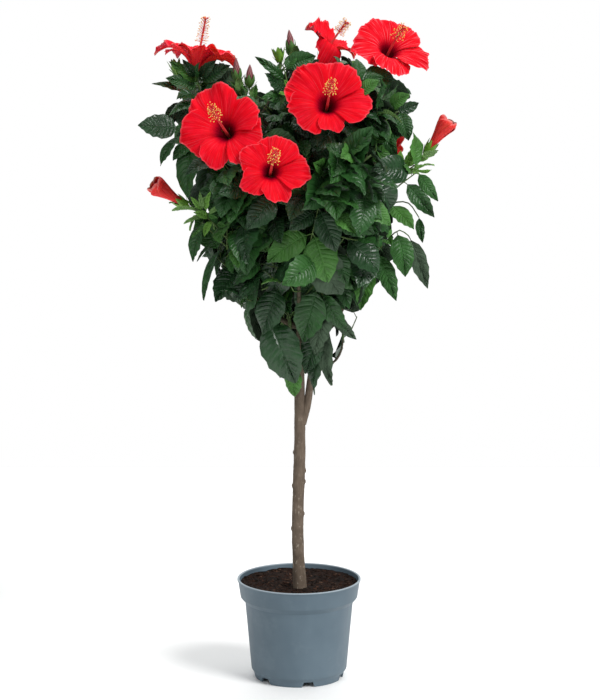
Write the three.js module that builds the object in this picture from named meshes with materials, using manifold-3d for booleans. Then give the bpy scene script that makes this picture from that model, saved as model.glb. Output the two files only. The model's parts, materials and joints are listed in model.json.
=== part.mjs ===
// Hibiscus shrub trained as a standard: one bare stem in a nursery pot under a heart-shaped crown
// of glossy leaves, with large red blooms at the shoot tips. Millimetres, +Z up. The origin is the
// middle of the circle that the pot's feet stand on, and the plant's front faces -Y.
import * as THREE from "three";
import { mergeVertices } from "three/addons/utils/BufferGeometryUtils.js";
import Module from "manifold-3d";

const wasm = await Module();
wasm.setup();

// ---- driving dimensions --------------------------------------------------------------------
const GAP = 0.3; // between pieces that rest on each other

const POT = {
  height: 155,
  lipRadius: 95, lipHeight: 3, lipWidth: 1.2,
  collarFootRadius: 90, collarFoot: 127,
  wallTopRadius: 83, wallTop: 119,
  wallFootRadius: 73.5, wallFoot: 14,
  feetRadius: 70, toeRadius: 68, feetHeight: 8.5,
  wall: 2, floor: 2.5,
  notches: 6, notchTurn: 12, notchTop: 14, notchFoot: 21,
  drains: 6, drainRadius: 7, drainCircle: 50, drainSides: 8,
  facets: 28,
};
const COMPOST = { top: 142, mound: 3, facets: 24 };

// Limbs are smooth curves through a few points, thinning from their first radius to their last.
const TRUNK = {
  through: [
    [2, -14, COMPOST.top - 10], [-2, -10, 232], [1, -6, 356], [1, -4, 425],
    [1, -2, 480], [4, 0, 580], [6, 2, 690],
  ],
  radii: [9.2, 8.7, 9.3, 8.2, 7.4, 6.6, 5],
  flare: 2.6, flareHeight: 26,
  sides: 9, steps: 16,
};
const SECOND_STEM = {
  through: [[5, -5, 398], [13, -4, 430], [17.5, -3, 465], [24, 0, 510], [42, 5, 570], [70, 8, 636]],
  radii: [6.2, 5.6, 5.1, 4.9, 4.5, 3.8],
  sides: 7, steps: 9,
  sector: 62, highestFork: 628, // it carries the boughs within this angle of +X
};

// The crown's outline, turned about the upright axis: it swells from its foot to the shoulder,
// keeps its reach to the brow and closes over the top.
const CROWN = { foot: 422, shoulder: 775, brow: 850, top: 968, reach: 214, swell: 1.5 };

// Tiers of leafy masses. Every tier has count masses round the crown, each on its own bough.
// Angles are in degrees from the front, rising towards +X.
const TIERS = [
  {
    name: "skirt", count: 3, turn: 300, fork: [460, 474], tip: null, stem: 44, low: 524, high: 590,
    twigs: 4, fill: [0.7, 0.85], leaf: 106, droop: 1.4, outward: 0, lift: 0,
  },
  {
    name: "waist", count: 5, turn: 0, fork: [500, 560], tip: [80, 606], stem: 40, low: 585, high: 700,
    twigs: 5, fill: [0.75, 0.85], leaf: 106, droop: 1.5, outward: 0.45, lift: 0.03,
  },
  {
    name: "shoulder", count: 6, turn: 24, fork: [572, 640], tip: [92, 716], stem: 40, low: 690, high: 860,
    twigs: 5, fill: [0.75, 0.85], leaf: 92, droop: 1.1, outward: 0.5, lift: 0.06,
  },
  {
    name: "head", count: 5, turn: 48, fork: [640, 672], tip: [64, 806], stem: 40, low: 875, high: 945,
    twigs: 4, fill: [0.75, 0.85], leaf: 80, droop: 0.45, outward: 0.5, lift: 0.075,
  },
  {
    name: "crest", count: 1, turn: 90, fork: null, tip: null, stem: 170, low: 885, high: 962,
    twigs: 5, fill: [0.25, 0.6], leaf: 68, droop: 0.3, outward: 0.4, lift: 0,
  },
];
const BOUGH = { root: 4.6, tip: 3.1, sag: 0.14, sides: 6, steps: 4 };
const STEM = { tip: 2.2, sides: 4, steps: 1 };
const TWIG = {
  root: 1.9, tip: 1.1, sides: 3, steps: 2, bend: 0.32, spread: 330, room: 2,
  bare: 0.26, first: 0.62, pitch: 23, seed: 4,
};
const LEAF = {
  width: 0.62, thickness: 1.7, belly: 0.42, cup: 0.08, golden: 137.5,
  tries: 8, turn: 71, room: 0.8, margin: 24, seed: 76,
};

// Blooms, furled blooms and buds, each at the end of its own twig: the mass that carries it, the
// middle of its mouth as angle, radius and height, where it faces as angle and rise, its radius,
// and how far it is open.
const BLOOMS = [
  { mass: "head_4", at: [277.7, 148, 960], faces: [100, 83], radius: 66, open: 1 },
  { mass: "shoulder_5", at: [324.8, 190, 862], faces: [346, 24], radius: 70, open: 1 },
  { mass: "head_0", at: [14.2, 170, 900], faces: [4, 24], radius: 65, open: 1 },
  { mass: "shoulder_5", at: [348, 194, 805], faces: [3, 20], radius: 55, open: 1 },
  { mass: "head_2", at: [142, 72, 982], faces: [125, 62], radius: 38, open: 0.3 },
  { mass: "head_1", at: [72.7, 134.5, 955], faces: [38, 42], radius: 63, open: 1 },
  { mass: "head_2", at: [176, 178, 902], faces: [182, 26], radius: 66, open: 1 },
  { mass: "shoulder_3", at: [216, 196, 810], faces: [212, 18], radius: 58, open: 1 },
  { mass: "shoulder_2", at: [140, 192, 826], faces: [136, 22], radius: 60, open: 1 },
];
const FURLED = [
  { mass: "shoulder_4", at: [290.3, 231, 775], faces: [287, 35], length: 68 },
  { mass: "shoulder_1", at: [81.4, 227, 866], faces: [84, 56], length: 68 },
  { mass: "waist_2", at: [168, 222, 742], faces: [168, 30], length: 62 },
];
const BUDS = [
  { mass: "head_4", at: [307, 116, 958], faces: [320, 84], length: 38 },
  { mass: "head_4", at: [314, 100, 948], faces: [20, 86], length: 34 },
  { mass: "head_4", at: [270, 188, 940], faces: [285, 72], length: 28 },
  { mass: "crest_0", at: [225, 30, 994], faces: [260, 84], length: 36 },
  { mass: "head_3", at: [206, 122, 962], faces: [190, 80], length: 34 },
];
const FLOWER = {
  depth: 0.6, furledDepth: 1.5, column: 0.78, columnRadius: 2, anthers: 6.5, stalk: 34, sunk: 2.5,
  facets: 10, notch: 0.93,
};

const COLOURS = {
  pot: [0x64767e, 0.55], compost: [0x2a1f1a, 0.95], bark: [0x84705f, 0.85],
  young: [0x4f8a2c, 0.5], leaf: [0x1f4a25, 0.45],
};

// ---- small tools ---------------------------------------------------------------------------
const UP = new THREE.Vector3(0, 0, 1);
const radians = THREE.MathUtils.degToRad;
const mix = THREE.MathUtils.lerp;
const vector = (x, y, z) => new THREE.Vector3(x, y, z);
const blend = (a, b, share) => a.clone().lerp(b, share);

// A point at an angle from the front, a distance from the upright axis and a height.
const around = (angle, radius, height) =>
  vector(radius * Math.sin(radians(angle)), -radius * Math.cos(radians(angle)), height);
// A direction at an angle from the front and a rise above level.
const facing = (angle, rise) => around(angle, Math.cos(radians(rise)), Math.sin(radians(rise)));

// Numbers from 0 to 1, the same for the same seed.
function seeded(seed) {
  let state = (seed * 7919 + 104729) % 4294967296;
  const next = () => {
    state = (state * 1664525 + 1013904223) % 4294967296;
    return state / 4294967296;
  };
  next();
  next();
  return next;
}

// A value partway along a list of values.
function along(values, share) {
  const place = Math.min(share, 0.999999) * (values.length - 1);
  const first = Math.floor(place);
  return mix(values[first], values[first + 1], place - first);
}

function outlineRadius(height) {
  const { foot, shoulder, brow, top, reach, swell } = CROWN;
  if (height <= foot || height >= top) return 0;
  if (height < shoulder) return reach * (1 - Math.pow(1 - (height - foot) / (shoulder - foot), swell));
  if (height < brow) return reach;
  return reach * Math.sqrt(1 - Math.pow((height - brow) / (top - brow), 2));
}

// ---- solids --------------------------------------------------------------------------------
function solidOf(geometry) {
  const bare = new THREE.BufferGeometry().setAttribute("position", geometry.getAttribute("position"));
  bare.setIndex(geometry.index);
  const merged = mergeVertices(bare, 1e-4);
  const corners = [];
  for (let i = 0; i < merged.index.count; i += 3) {
    const [a, b, c] = [0, 1, 2].map((k) => merged.index.getX(i + k));
    if (a !== b && b !== c && c !== a) corners.push(a, b, c);
  }
  const vertProperties = Float32Array.from(merged.attributes.position.array);
  const triVerts = Uint32Array.from(corners);
  return new wasm.Manifold(new wasm.Mesh({ numProp: 3, vertProperties, triVerts }));
}

function geometryOf(solid) {
  const mesh = solid.getMesh();
  const geometry = new THREE.BufferGeometry();
  geometry.setAttribute("position", new THREE.BufferAttribute(Float32Array.from(mesh.vertProperties), 3));
  geometry.setIndex(new THREE.BufferAttribute(Uint32Array.from(mesh.triVerts), 1));
  geometry.computeVertexNormals();
  return geometry;
}

const fuse = (solids) => wasm.Manifold.union(solids);

// The largest closed body of a solid, without loose scraps or sealed hollows.
function wholeOf(solid) {
  return solid.decompose().reduce((best, body) => (body.volume() > best.volume() ? body : best));
}

function moved(geometry, change) {
  const places = geometry.getAttribute("position");
  const point = new THREE.Vector3();
  for (let i = 0; i < places.count; i++) {
    point.fromBufferAttribute(places, i);
    change(point);
    places.setXYZ(i, point.x, point.y, point.z);
  }
  return geometry;
}

// A closed limb: a cylinder whose rings are set square along a curve.
function limbSolid(curve, radiusAt, sides, steps) {
  const frames = curve.computeFrenetFrames(steps, false);
  const rod = new THREE.CylinderGeometry(1, 1, 1, sides, steps);
  return solidOf(
    moved(rod, (point) => {
      const share = point.y + 0.5;
      const ring = Math.round(share * steps);
      const radius = radiusAt(share);
      const { x, z } = point;
      point.copy(curve.getPointAt(ring / steps));
      point.addScaledVector(frames.binormals[ring], x * radius);
      point.addScaledVector(frames.normals[ring], z * radius);
    }),
  );
}

// Places a shape that was made along +Z so that its foot is at a point and its axis along a way.
function setAlong(geometry, foot, way) {
  const turn = new THREE.Quaternion().setFromUnitVectors(UP, way);
  return geometry.applyQuaternion(turn).translate(foot.x, foot.y, foot.z);
}

// A closed turned shape about +Z, from pairs of radius and height that start and end on the axis.
function turned(profile, facets) {
  const points = profile.map(([radius, height]) => new THREE.Vector2(radius, height));
  return new THREE.LatheGeometry(points, facets).rotateX(Math.PI / 2);
}

// ---- pot and compost -----------------------------------------------------------------------
// The radius of the pot's inner face at a height, in its collar or in the wall below.
function insideWall(height) {
  const p = POT;
  const inCollar = height > p.collarFoot;
  const [low, high] = inCollar ? [p.collarFoot, p.height] : [p.wallFoot, p.wallTop];
  const [narrow, wide] = inCollar
    ? [p.collarFootRadius, p.lipRadius - p.lipWidth]
    : [p.wallFootRadius, p.wallTopRadius];
  return mix(narrow, wide, (height - low) / (high - low)) - p.wall;
}

function potSolid() {
  const p = POT;
  const floorTop = p.feetHeight + p.floor;
  const shell = solidOf(
    turned([
      [0, p.feetHeight], [p.toeRadius - 3, p.feetHeight], [p.toeRadius - 2.5, 0], [p.toeRadius, 0],
      [p.feetRadius, p.feetHeight], [p.wallFootRadius, p.wallFoot],
      [p.wallTopRadius, p.wallTop], [p.collarFootRadius, p.collarFoot],
      [p.lipRadius - p.lipWidth, p.height - p.lipHeight], [p.lipRadius, p.height - p.lipHeight + 0.6],
      [p.lipRadius, p.height], [insideWall(p.height), p.height],
      [insideWall(p.collarFoot + 1), p.collarFoot + 1], [insideWall(p.wallTop), p.wallTop],
      [insideWall(floorTop), floorTop], [0, floorTop],
    ], p.facets),
  );
  const cuts = [];
  for (let i = 0; i < p.notches; i++) {
    const angle = radians(p.notchTurn + (360 / p.notches) * i);
    const outline = new THREE.Shape([
      new THREE.Vector2(-p.notchFoot / 2, -1), new THREE.Vector2(p.notchFoot / 2, -1),
      new THREE.Vector2(p.notchTop / 2, p.feetHeight), new THREE.Vector2(-p.notchTop / 2, p.feetHeight),
    ]);
    const notch = new THREE.ExtrudeGeometry(outline, { depth: 20, bevelEnabled: false });
    notch.rotateX(Math.PI / 2).translate(0, -p.toeRadius + 12, 0).rotateZ(angle);
    cuts.push(solidOf(notch));
  }
  for (let i = 0; i < p.drains; i++) {
    const middle = around((360 / p.drains) * i, p.drainCircle, floorTop);
    const drain = new THREE.CylinderGeometry(p.drainRadius, p.drainRadius, 12, p.drainSides);
    cuts.push(solidOf(drain.rotateX(Math.PI / 2).translate(middle.x, middle.y, middle.z)));
  }
  return shell.subtract(fuse(cuts));
}

function compostSolid() {
  const foot = POT.feetHeight + POT.floor + GAP;
  const side = (height) => [insideWall(height) * Math.cos(Math.PI / POT.facets) - 1, height];
  return solidOf(turned([
    [0, foot], side(foot), side(POT.wallTop), side(POT.collarFoot + 1), side(COMPOST.top - COMPOST.mound),
    [insideWall(COMPOST.top) * 0.8, COMPOST.top - 1], [30, COMPOST.top], [0, COMPOST.top],
  ], COMPOST.facets));
}

// ---- limbs ---------------------------------------------------------------------------------
const curveThrough = (places) =>
  new THREE.CatmullRomCurve3(places.map((place) => vector(...place)), false, "catmullrom", 0.5);

const trunkCurve = curveThrough(TRUNK.through);
const secondCurve = curveThrough(SECOND_STEM.through);

function trunkRadius(share, grown = 0) {
  const height = share * trunkCurve.getLength();
  return along(TRUNK.radii, share) + TRUNK.flare * Math.exp(-height / TRUNK.flareHeight) + grown;
}
const secondRadius = (share, grown = 0) => along(SECOND_STEM.radii, share) + grown;

// The trunk is cut level where it comes out of the compost.
function trunkLimb(grown = 0) {
  const limb = limbSolid(trunkCurve, (share) => trunkRadius(share, grown), TRUNK.sides, TRUNK.steps);
  const ground = new THREE.BoxGeometry(80, 80, 40).translate(0, 0, COMPOST.top + GAP - 20);
  return limb.subtract(solidOf(ground));
}
function secondLimb(grown = 0) {
  const { sides, steps } = SECOND_STEM;
  return limbSolid(secondCurve, (share) => secondRadius(share, grown), sides, steps);
}

// The point of a rising curve at a height.
function atHeight(curve, height) {
  let [low, high] = [0, 1];
  for (let i = 0; i < 24; i++) {
    const middle = (low + high) / 2;
    if (curve.getPointAt(middle).z < height) low = middle;
    else high = middle;
  }
  return curve.getPointAt(low);
}

const nearSecond = (angle) => Math.abs(angle - 90) <= SECOND_STEM.sector;

// Every mass of a tier, with the curve of its bough and of the stem that goes on inside it.
function massesOf(tier, tierIndex) {
  return Array.from({ length: tier.count }, (_, i) => {
    const angle = (tier.turn + (360 / tier.count) * i) % 360;
    const onSecond = Boolean(tier.fork) && tier.fork[0] < SECOND_STEM.highestFork && nearSecond(angle);
    const carrier = onSecond ? secondCurve : trunkCurve;
    const spot = (i * 2) % tier.count; // neighbours fork at different heights
    const forkHeight = tier.fork ? mix(...tier.fork, spot / (tier.count - 1)) : 0;
    const root = atHeight(carrier, onSecond ? Math.min(forkHeight, SECOND_STEM.highestFork) : forkHeight);
    const mass = { name: tier.name + "_" + i, tier, angle, index: tierIndex * 10 + i, bough: null };
    if (tier.tip) {
      const tip = around(angle, tier.tip[0], tier.tip[1]);
      const reach = root.distanceTo(tip);
      const sagged = blend(root, tip, 0.5).addScaledVector(facing(angle, -45), BOUGH.sag * reach);
      mass.bough = new THREE.QuadraticBezierCurve3(root, sagged, tip);
      mass.way = mass.bough.getTangentAt(1);
      mass.foot = tip.clone().addScaledVector(mass.way, GAP);
    } else {
      mass.way = tier.fork ? facing(angle, 30) : trunkCurve.getTangentAt(1);
      mass.foot = tier.fork ? root : trunkCurve.getPointAt(1).addScaledVector(mass.way, GAP);
    }
    mass.stem = new THREE.LineCurve3(mass.foot, mass.foot.clone().addScaledVector(mass.way, tier.stem));
    return mass;
  });
}
const masses = TIERS.flatMap(massesOf);

// ---- twigs ---------------------------------------------------------------------------------
// Leafy twigs run from the stem of their mass to places spread evenly over its share of the crown.
function leafyTwigs(mass) {
  const { tier, angle, stem, way } = mass;
  const next = seeded(mass.index * 31 + TWIG.seed);
  return Array.from({ length: tier.twigs }, (_, i) => {
    const spread = ((i * 0.618 + 0.5 + 0.12 * (next() - 0.5)) % 1) - 0.5;
    const height = mix(tier.low, tier.high, (i + 0.5 + 0.5 * (next() - 0.5)) / tier.twigs);
    const fill = mix(...tier.fill, (i * 0.382 + 0.6 * next()) % 1);
    const end = around(angle + (spread * TWIG.spread) / tier.count, outlineRadius(height) * fill, height);
    const root = stem.getPointAt(mix(0.3, 0.94, i / (tier.twigs - 1)));
    const reach = root.distanceTo(end);
    const bend = root.clone().addScaledVector(way, TWIG.bend * reach);
    bend.addScaledVector(UP, -tier.lift * reach);
    const curve = new THREE.QuadraticBezierCurve3(root, bend, end);
    return { mass, seed: mass.index * 101 + i, curve, stalk: 0 };
  });
}

// A twig that ends in a bloom or bud leaves the stem and comes in behind it along its axis.
function flowerTwig(mass, foot, way, seed) {
  const root = mass.stem.getPointAt(0.55);
  const reach = root.distanceTo(foot);
  const curve = new THREE.CubicBezierCurve3(
    root, root.clone().addScaledVector(mass.way, 0.3 * reach),
    foot.clone().addScaledVector(way, -0.38 * reach), foot.clone().addScaledVector(way, FLOWER.sunk),
  );
  return { mass, seed, curve, stalk: FLOWER.stalk / curve.getLength() };
}

const twigRadius = (share) => mix(TWIG.root, TWIG.tip, share);

// The middle of a twig's solid, which runs straight from ring to ring.
function insideTwig(curve, share) {
  const ring = Math.min(Math.floor(share * TWIG.steps), TWIG.steps - 1);
  const [start, end] = [ring, ring + 1].map((k) => curve.getPointAt(k / TWIG.steps));
  return start.lerp(end, share * TWIG.steps - ring);
}

// ---- leaves --------------------------------------------------------------------------------
// Leaves stand round a twig by the golden angle and hang by the droop of their tier. Each gets
// a few turns about the twig to find room, and is skipped if it finds none.
function leafPlaces(twig) {
  const { curve, mass, seed } = twig;
  const { tier } = mass;
  const next = seeded(seed * 17 + LEAF.seed);
  const last = 1 - twig.stalk;
  const leafed = curve.getLength() * (last - TWIG.bare);
  const count = Math.max(2, Math.round(leafed / TWIG.pitch) + (twig.stalk ? 0 : 1));
  const start = 360 * next();
  return Array.from({ length: count }, (_, i) => {
    const share = mix(TWIG.bare, last, (i + TWIG.first) / count);
    return {
      root: insideTwig(curve, share),
      stalkWay: curve.getTangentAt(share),
      turn: start + i * LEAF.golden,
      size: tier.leaf * mix(1.05, 0.62, share * share) * mix(0.88, 1.12, next()),
      droop: tier.droop * mix(0.75, 1.25, next()),
      lean: mix(0.25, 0.7, share),
      roll: mix(-0.35, 0.35, next()),
      twig,
      mass,
    };
  });
}

// The leaf's frame at one try: the way that it points, and its upper side.
function leafFrame(place, attempt) {
  const { root, stalkWay } = place;
  const side = UP.clone().cross(stalkWay).normalize();
  side.applyAxisAngle(stalkWay, radians(place.turn + attempt * LEAF.turn));
  const outward = vector(root.x, root.y, 0).normalize();
  const way = side.addScaledVector(stalkWay, place.lean).addScaledVector(outward, place.mass.tier.outward);
  way.addScaledVector(UP, -place.droop).normalize();
  const face = UP.clone().multiplyScalar(0.55).addScaledVector(outward, 0.85);
  face.addScaledVector(way, -face.dot(way)).normalize().applyAxisAngle(way, place.roll);
  return { root, way, face, size: place.size };
}

function leafSolid({ root, way, face, size }, grown = 0) {
  const across = new THREE.Vector3().crossVectors(way, face);
  const shape = new THREE.SphereGeometry(1, 4, 2); // four points round the rim and two faces' middles
  return solidOf(
    moved(shape, (point) => {
      const { x, y, z } = point; // one of them is 1 or -1
      const length = Math.abs(x) > 0.5 ? ((1 + x) / 2) * (size + grown) : LEAF.belly * size;
      const lift = Math.abs(z) * LEAF.cup * size + (y * (LEAF.thickness + grown)) / 2;
      point.copy(root).addScaledVector(way, length).addScaledVector(face, lift);
      point.addScaledVector(across, (z * (LEAF.width * size + grown)) / 2);
    }),
  );
}

// Whether a place lies in a bloom, or close in front of it where it would hide it.
function hidesBloom(point) {
  return blooms.some(({ mouth, way, radius }) => {
    const off = point.clone().sub(mouth);
    const ahead = off.dot(way);
    const beside = off.addScaledVector(way, -ahead).length();
    return ahead > -0.45 * radius && ahead < 1.6 * radius && beside < radius * (ahead > -4 ? 1.04 : 0.8);
  });
}

function leafFits({ root, way, face, size }) {
  const across = new THREE.Vector3().crossVectors(way, face);
  return [0.35, 0.6, 0.8, 1].every((share) =>
    [-0.4, 0, 0.4].every((side) => {
      const width = side * LEAF.width * size * (1 - Math.abs(share - LEAF.belly));
      const point = root.clone().addScaledVector(way, share * size).addScaledVector(across, width);
      const beyond = Math.hypot(point.x, point.y) - outlineRadius(point.z) - LEAF.margin;
      return (beyond < 0 || point.z > CROWN.brow) && point.z < CROWN.top && !hidesBloom(point);
    }),
  );
}

// ---- blooms and buds -----------------------------------------------------------------------
const blooms = BLOOMS.map((bloom) => {
  const way = facing(...bloom.faces);
  const mouth = around(...bloom.at);
  const depth = bloom.radius * mix(FLOWER.furledDepth, FLOWER.depth, bloom.open);
  return { ...bloom, way, mouth, depth, foot: mouth.clone().addScaledVector(way, -depth) };
});

function bloomSolid({ radius, depth, foot, way }) {
  const funnel = turned([
    [0, 0], [radius * 0.12, depth * 0.25], [radius * 0.38, depth * 0.84], [radius, depth * 1.08],
    [radius * 0.34, depth * 0.96], [0, depth * 0.42],
  ], FLOWER.facets);
  moved(funnel, (point) => {
    const angle = Math.atan2(point.x, -point.y);
    const corner = Math.round((angle / (2 * Math.PI)) * FLOWER.facets) % 2;
    const atNotch = corner === 0 && Math.hypot(point.x, point.y) > radius * 0.9;
    if (atNotch) point.set(point.x * FLOWER.notch, point.y * FLOWER.notch, point.z);
  });
  const tip = depth + radius * FLOWER.column;
  const column = new THREE.CylinderGeometry(FLOWER.columnRadius, FLOWER.columnRadius, tip - depth * 0.4, 4);
  column.rotateX(Math.PI / 2).translate(0, 0, (tip + depth * 0.4) / 2);
  const anthers = new THREE.SphereGeometry(FLOWER.anthers, 5, 3).rotateX(Math.PI / 2).scale(1, 1, 1.6);
  anthers.translate(0, 0, tip - FLOWER.anthers * 1.5);
  return fuse([funnel, column, anthers].map((shape) => solidOf(setAlong(shape, foot, way))));
}

function furledSolid({ length, foot, way }) {
  return solidOf(setAlong(turned([
    [0, 0], [5.5, 3], [6.5, length * 0.2], [6, length * 0.4], [8.5, length * 0.68],
    [12.5, length * 0.9], [9, length], [0, length * 0.94],
  ], 7), foot, way));
}

function budSolid({ length, foot, way }) {
  return solidOf(setAlong(turned([
    [0, 0], [5, 3], [7.2, length * 0.3], [5.4, length * 0.62], [0, length],
  ], 6), foot, way));
}

const tipped = (list, make) => list.map((flower) => {
  const way = facing(...flower.faces);
  const foot = around(...flower.at).addScaledVector(way, -flower.length);
  return { ...flower, way, foot, make };
});
const flowers = [
  ...blooms.map((bloom) => ({ ...bloom, make: bloomSolid })),
  ...tipped(FURLED, furledSolid),
  ...tipped(BUDS, budSolid),
];

// ---- growing the crown ---------------------------------------------------------------------
const spheresAlong = (curve, radiusAt, owner) => {
  const count = Math.ceil(curve.getLength() / 6);
  return Array.from({ length: count + 1 }, (_, i) => ({
    place: curve.getPointAt(i / count), radius: radiusAt(i / count), owner,
  }));
};
const boughRadius = (share, grown = 0) => mix(BOUGH.root, BOUGH.tip, share) + grown;
const stemRadius = (share) => mix(BOUGH.tip, STEM.tip, share);

const taken = [
  ...spheresAlong(trunkCurve, trunkRadius, "limb"),
  ...spheresAlong(secondCurve, secondRadius, "limb"),
];
for (const mass of masses) {
  if (mass.bough) taken.push(...spheresAlong(mass.bough, boughRadius, "limb"));
  taken.push(...spheresAlong(mass.stem, stemRadius, mass.name));
}
for (const { mouth, foot, way, radius, mass } of blooms) {
  for (const share of [0, 0.25, 0.5, 0.75, 1]) {
    taken.push({ place: blend(foot, mouth, share), radius: radius * 0.3, owner: mass });
  }
  taken.push({ place: mouth.clone().addScaledVector(way, 6), radius: radius * 0.7, owner: mass });
}

// A twig is skipped where it would touch a limb, or a twig or bloom of another mass.
function twigFits(twig) {
  const own = spheresAlong(twig.curve, twigRadius, twig.mass.name);
  const clear = own.every(({ place, radius }, i) =>
    taken.every((other) => {
      if (other.owner === twig.mass.name || (other.owner === "limb" && i < 2)) return true;
      return place.distanceTo(other.place) > radius + other.radius + TWIG.room;
    }),
  );
  if (clear) taken.push(...own);
  return clear;
}

const byName = Object.fromEntries(masses.map((mass) => [mass.name, mass]));
const flowering = flowers.map((flower, i) => {
  const twig = flowerTwig(byName[flower.mass], flower.foot, flower.way, 5000 + i);
  taken.push(...spheresAlong(twig.curve, twigRadius, flower.mass));
  return twig;
});
const leafy = masses.flatMap(leafyTwigs).filter(twigFits);
const twigs = [...flowering, ...leafy];

const parts = Object.fromEntries(masses.map((mass) => [mass.name, []]));
function addPart(name, solid, grower = null) {
  parts[name].push({ solid, box: solid.boundingBox(), grower });
}

for (const twig of twigs) {
  addPart(twig.mass.name, limbSolid(twig.curve, twigRadius, TWIG.sides, TWIG.steps), twig);
}
for (const flower of flowers) addPart(flower.mass, flower.make(flower));

const trunkClear = trunkLimb(GAP);
const carriersClear = secondLimb(GAP).add(trunkClear);
const limbs = { trunk: trunkLimb(), second_stem: wholeOf(secondLimb().subtract(trunkClear)) };
for (const mass of masses) {
  const stem = limbSolid(mass.stem, stemRadius, STEM.sides, STEM.steps);
  addPart(mass.name, mass.bough ? stem : wholeOf(stem.subtract(carriersClear)));
  if (!mass.bough) continue;
  const whole = limbSolid(mass.bough, boughRadius, BOUGH.sides, BOUGH.steps);
  limbs["bough_" + mass.name] = wholeOf(whole.subtract(carriersClear));
}
const limbParts = Object.values(limbs).map((solid) => ({ solid, box: solid.boundingBox() }));

const apart = (a, b) =>
  [0, 1, 2].some((k) => a.min[k] > b.max[k] + GAP || b.min[k] > a.max[k] + GAP);
function touches(solid, others) {
  const box = solid.boundingBox();
  return others.some((other) => !apart(box, other.box) && !solid.intersect(other.solid).isEmpty());
}

for (const place of twigs.flatMap(leafPlaces)) {
  const { name } = place.mass;
  const foreign = Object.keys(parts).filter((key) => key !== name).flatMap((key) => parts[key]);
  for (let attempt = 0; attempt < LEAF.tries; attempt++) {
    const frame = leafFrame(place, attempt);
    if (!leafFits(frame) || touches(leafSolid(frame, LEAF.room), [...limbParts, ...foreign])) continue;
    const others = parts[name].filter((part) => part.grower !== place.twig);
    if (touches(leafSolid(frame), others)) continue;
    addPart(name, leafSolid(frame));
    break;
  }
}

// ---- the plant -----------------------------------------------------------------------------
const plant = new THREE.Group();
function addNode(name, solid, finish) {
  const [color, roughness] = COLOURS[finish];
  const material = new THREE.MeshStandardMaterial({ color, roughness, metalness: 0 });
  const mesh = new THREE.Mesh(geometryOf(solid), material);
  mesh.name = name;
  plant.add(mesh);
}

addNode("pot", potSolid(), "pot");
addNode("compost", compostSolid(), "compost");
for (const [name, solid] of Object.entries(limbs)) addNode(name, solid, "bark");
for (const [name, list] of Object.entries(parts)) {
  const finish = name.startsWith("head") || name.startsWith("crest") ? "young" : "leaf";
  addNode("foliage_" + name, wholeOf(fuse(list.map((part) => part.solid))), finish);
}

export default plant;
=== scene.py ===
import json
import math

import bmesh
import bpy
import numpy as np
from mathutils import Matrix, noise

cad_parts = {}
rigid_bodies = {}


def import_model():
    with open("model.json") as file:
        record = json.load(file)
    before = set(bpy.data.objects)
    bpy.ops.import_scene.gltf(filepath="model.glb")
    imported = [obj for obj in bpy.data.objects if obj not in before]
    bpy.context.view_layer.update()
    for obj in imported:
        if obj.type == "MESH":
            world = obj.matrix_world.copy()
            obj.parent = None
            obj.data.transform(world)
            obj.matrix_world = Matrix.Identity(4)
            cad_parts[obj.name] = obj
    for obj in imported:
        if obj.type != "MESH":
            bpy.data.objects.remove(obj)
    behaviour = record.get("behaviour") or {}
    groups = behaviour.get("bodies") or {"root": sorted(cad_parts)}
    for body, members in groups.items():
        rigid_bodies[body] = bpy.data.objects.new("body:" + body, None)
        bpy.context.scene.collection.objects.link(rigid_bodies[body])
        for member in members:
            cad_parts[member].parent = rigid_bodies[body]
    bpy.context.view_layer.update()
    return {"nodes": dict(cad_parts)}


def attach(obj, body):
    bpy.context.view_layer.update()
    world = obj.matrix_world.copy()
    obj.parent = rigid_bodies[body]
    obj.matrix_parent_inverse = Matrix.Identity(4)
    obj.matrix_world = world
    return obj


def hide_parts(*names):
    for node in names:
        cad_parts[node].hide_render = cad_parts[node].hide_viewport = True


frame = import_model()
scene = bpy.context.scene
scene.view_settings.view_transform = "Standard"
mm = 0.001  # the plans below are in millimetres, as the part's source is
up = np.array([0.0, 0.0, 1.0])
goldenTurn = 137.5  # degrees from one leaf, twig or stamen to the next

studio = {
    "cameraPlace": (0.0015, -4.0, 1.2), "tiltDown": 9.77, "lens": 137.5, "sensorHeight": 36,
    "floorHalf": 1.5, "floorColour": (0.95, 0.95, 0.94), "floorFinish": (0.4, 0.2, 0.99),  # patches, amount, shade
    "worldColour": (0.92, 0.96, 1), "worldLight": 0.24,
}
suns = {
    "keySun": {"turn": 50, "rise": 40, "strength": 2.6, "spread": 26},
    "fillSun": {"turn": -30, "rise": 30, "strength": 0.75, "spread": 60},
    "topSun": {"turn": 172, "rise": 60, "strength": 1.9, "spread": 70},
}


# Nodes, shader groups and materials

def setInputs(node, **values):
    for key, value in values.items():
        node.inputs[key.replace("_", " ")].default_value = value
    return node


def addNode(tree, kind, settings=None, **values):
    node = tree.nodes.new(kind)
    for key, value in (settings or {}).items():
        setattr(node, key, value)
    return setInputs(node, **values)


def feed(socket, value):  # a socket to link from, a number, or a colour
    if isinstance(value, bpy.types.NodeSocket):
        socket.id_data.links.new(value, socket)
    else:
        socket.default_value = (*value, 1) if isinstance(value, tuple) and len(value) == 3 else value


def mixed(tree, factor, first, second):
    node = addNode(tree, "ShaderNodeMix", {"data_type": "RGBA"})
    for place, value in ((0, factor), (6, first), (7, second)):
        feed(node.inputs[place], value)
    return node.outputs[2]


def ranged(tree, value, low, high, newLow=0.0, newHigh=1.0):
    node = addNode(tree, "ShaderNodeMapRange", From_Min=low, From_Max=high, To_Min=newLow, To_Max=newHigh)
    feed(node.inputs["Value"], value)
    return node.outputs["Result"]


def laidOver(tree, colour, other, mask, span, amounts=(0.0, 1.0)):  # the amounts of the other colour over the span
    return mixed(tree, ranged(tree, mask, *span, *amounts), colour, other)


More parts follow.
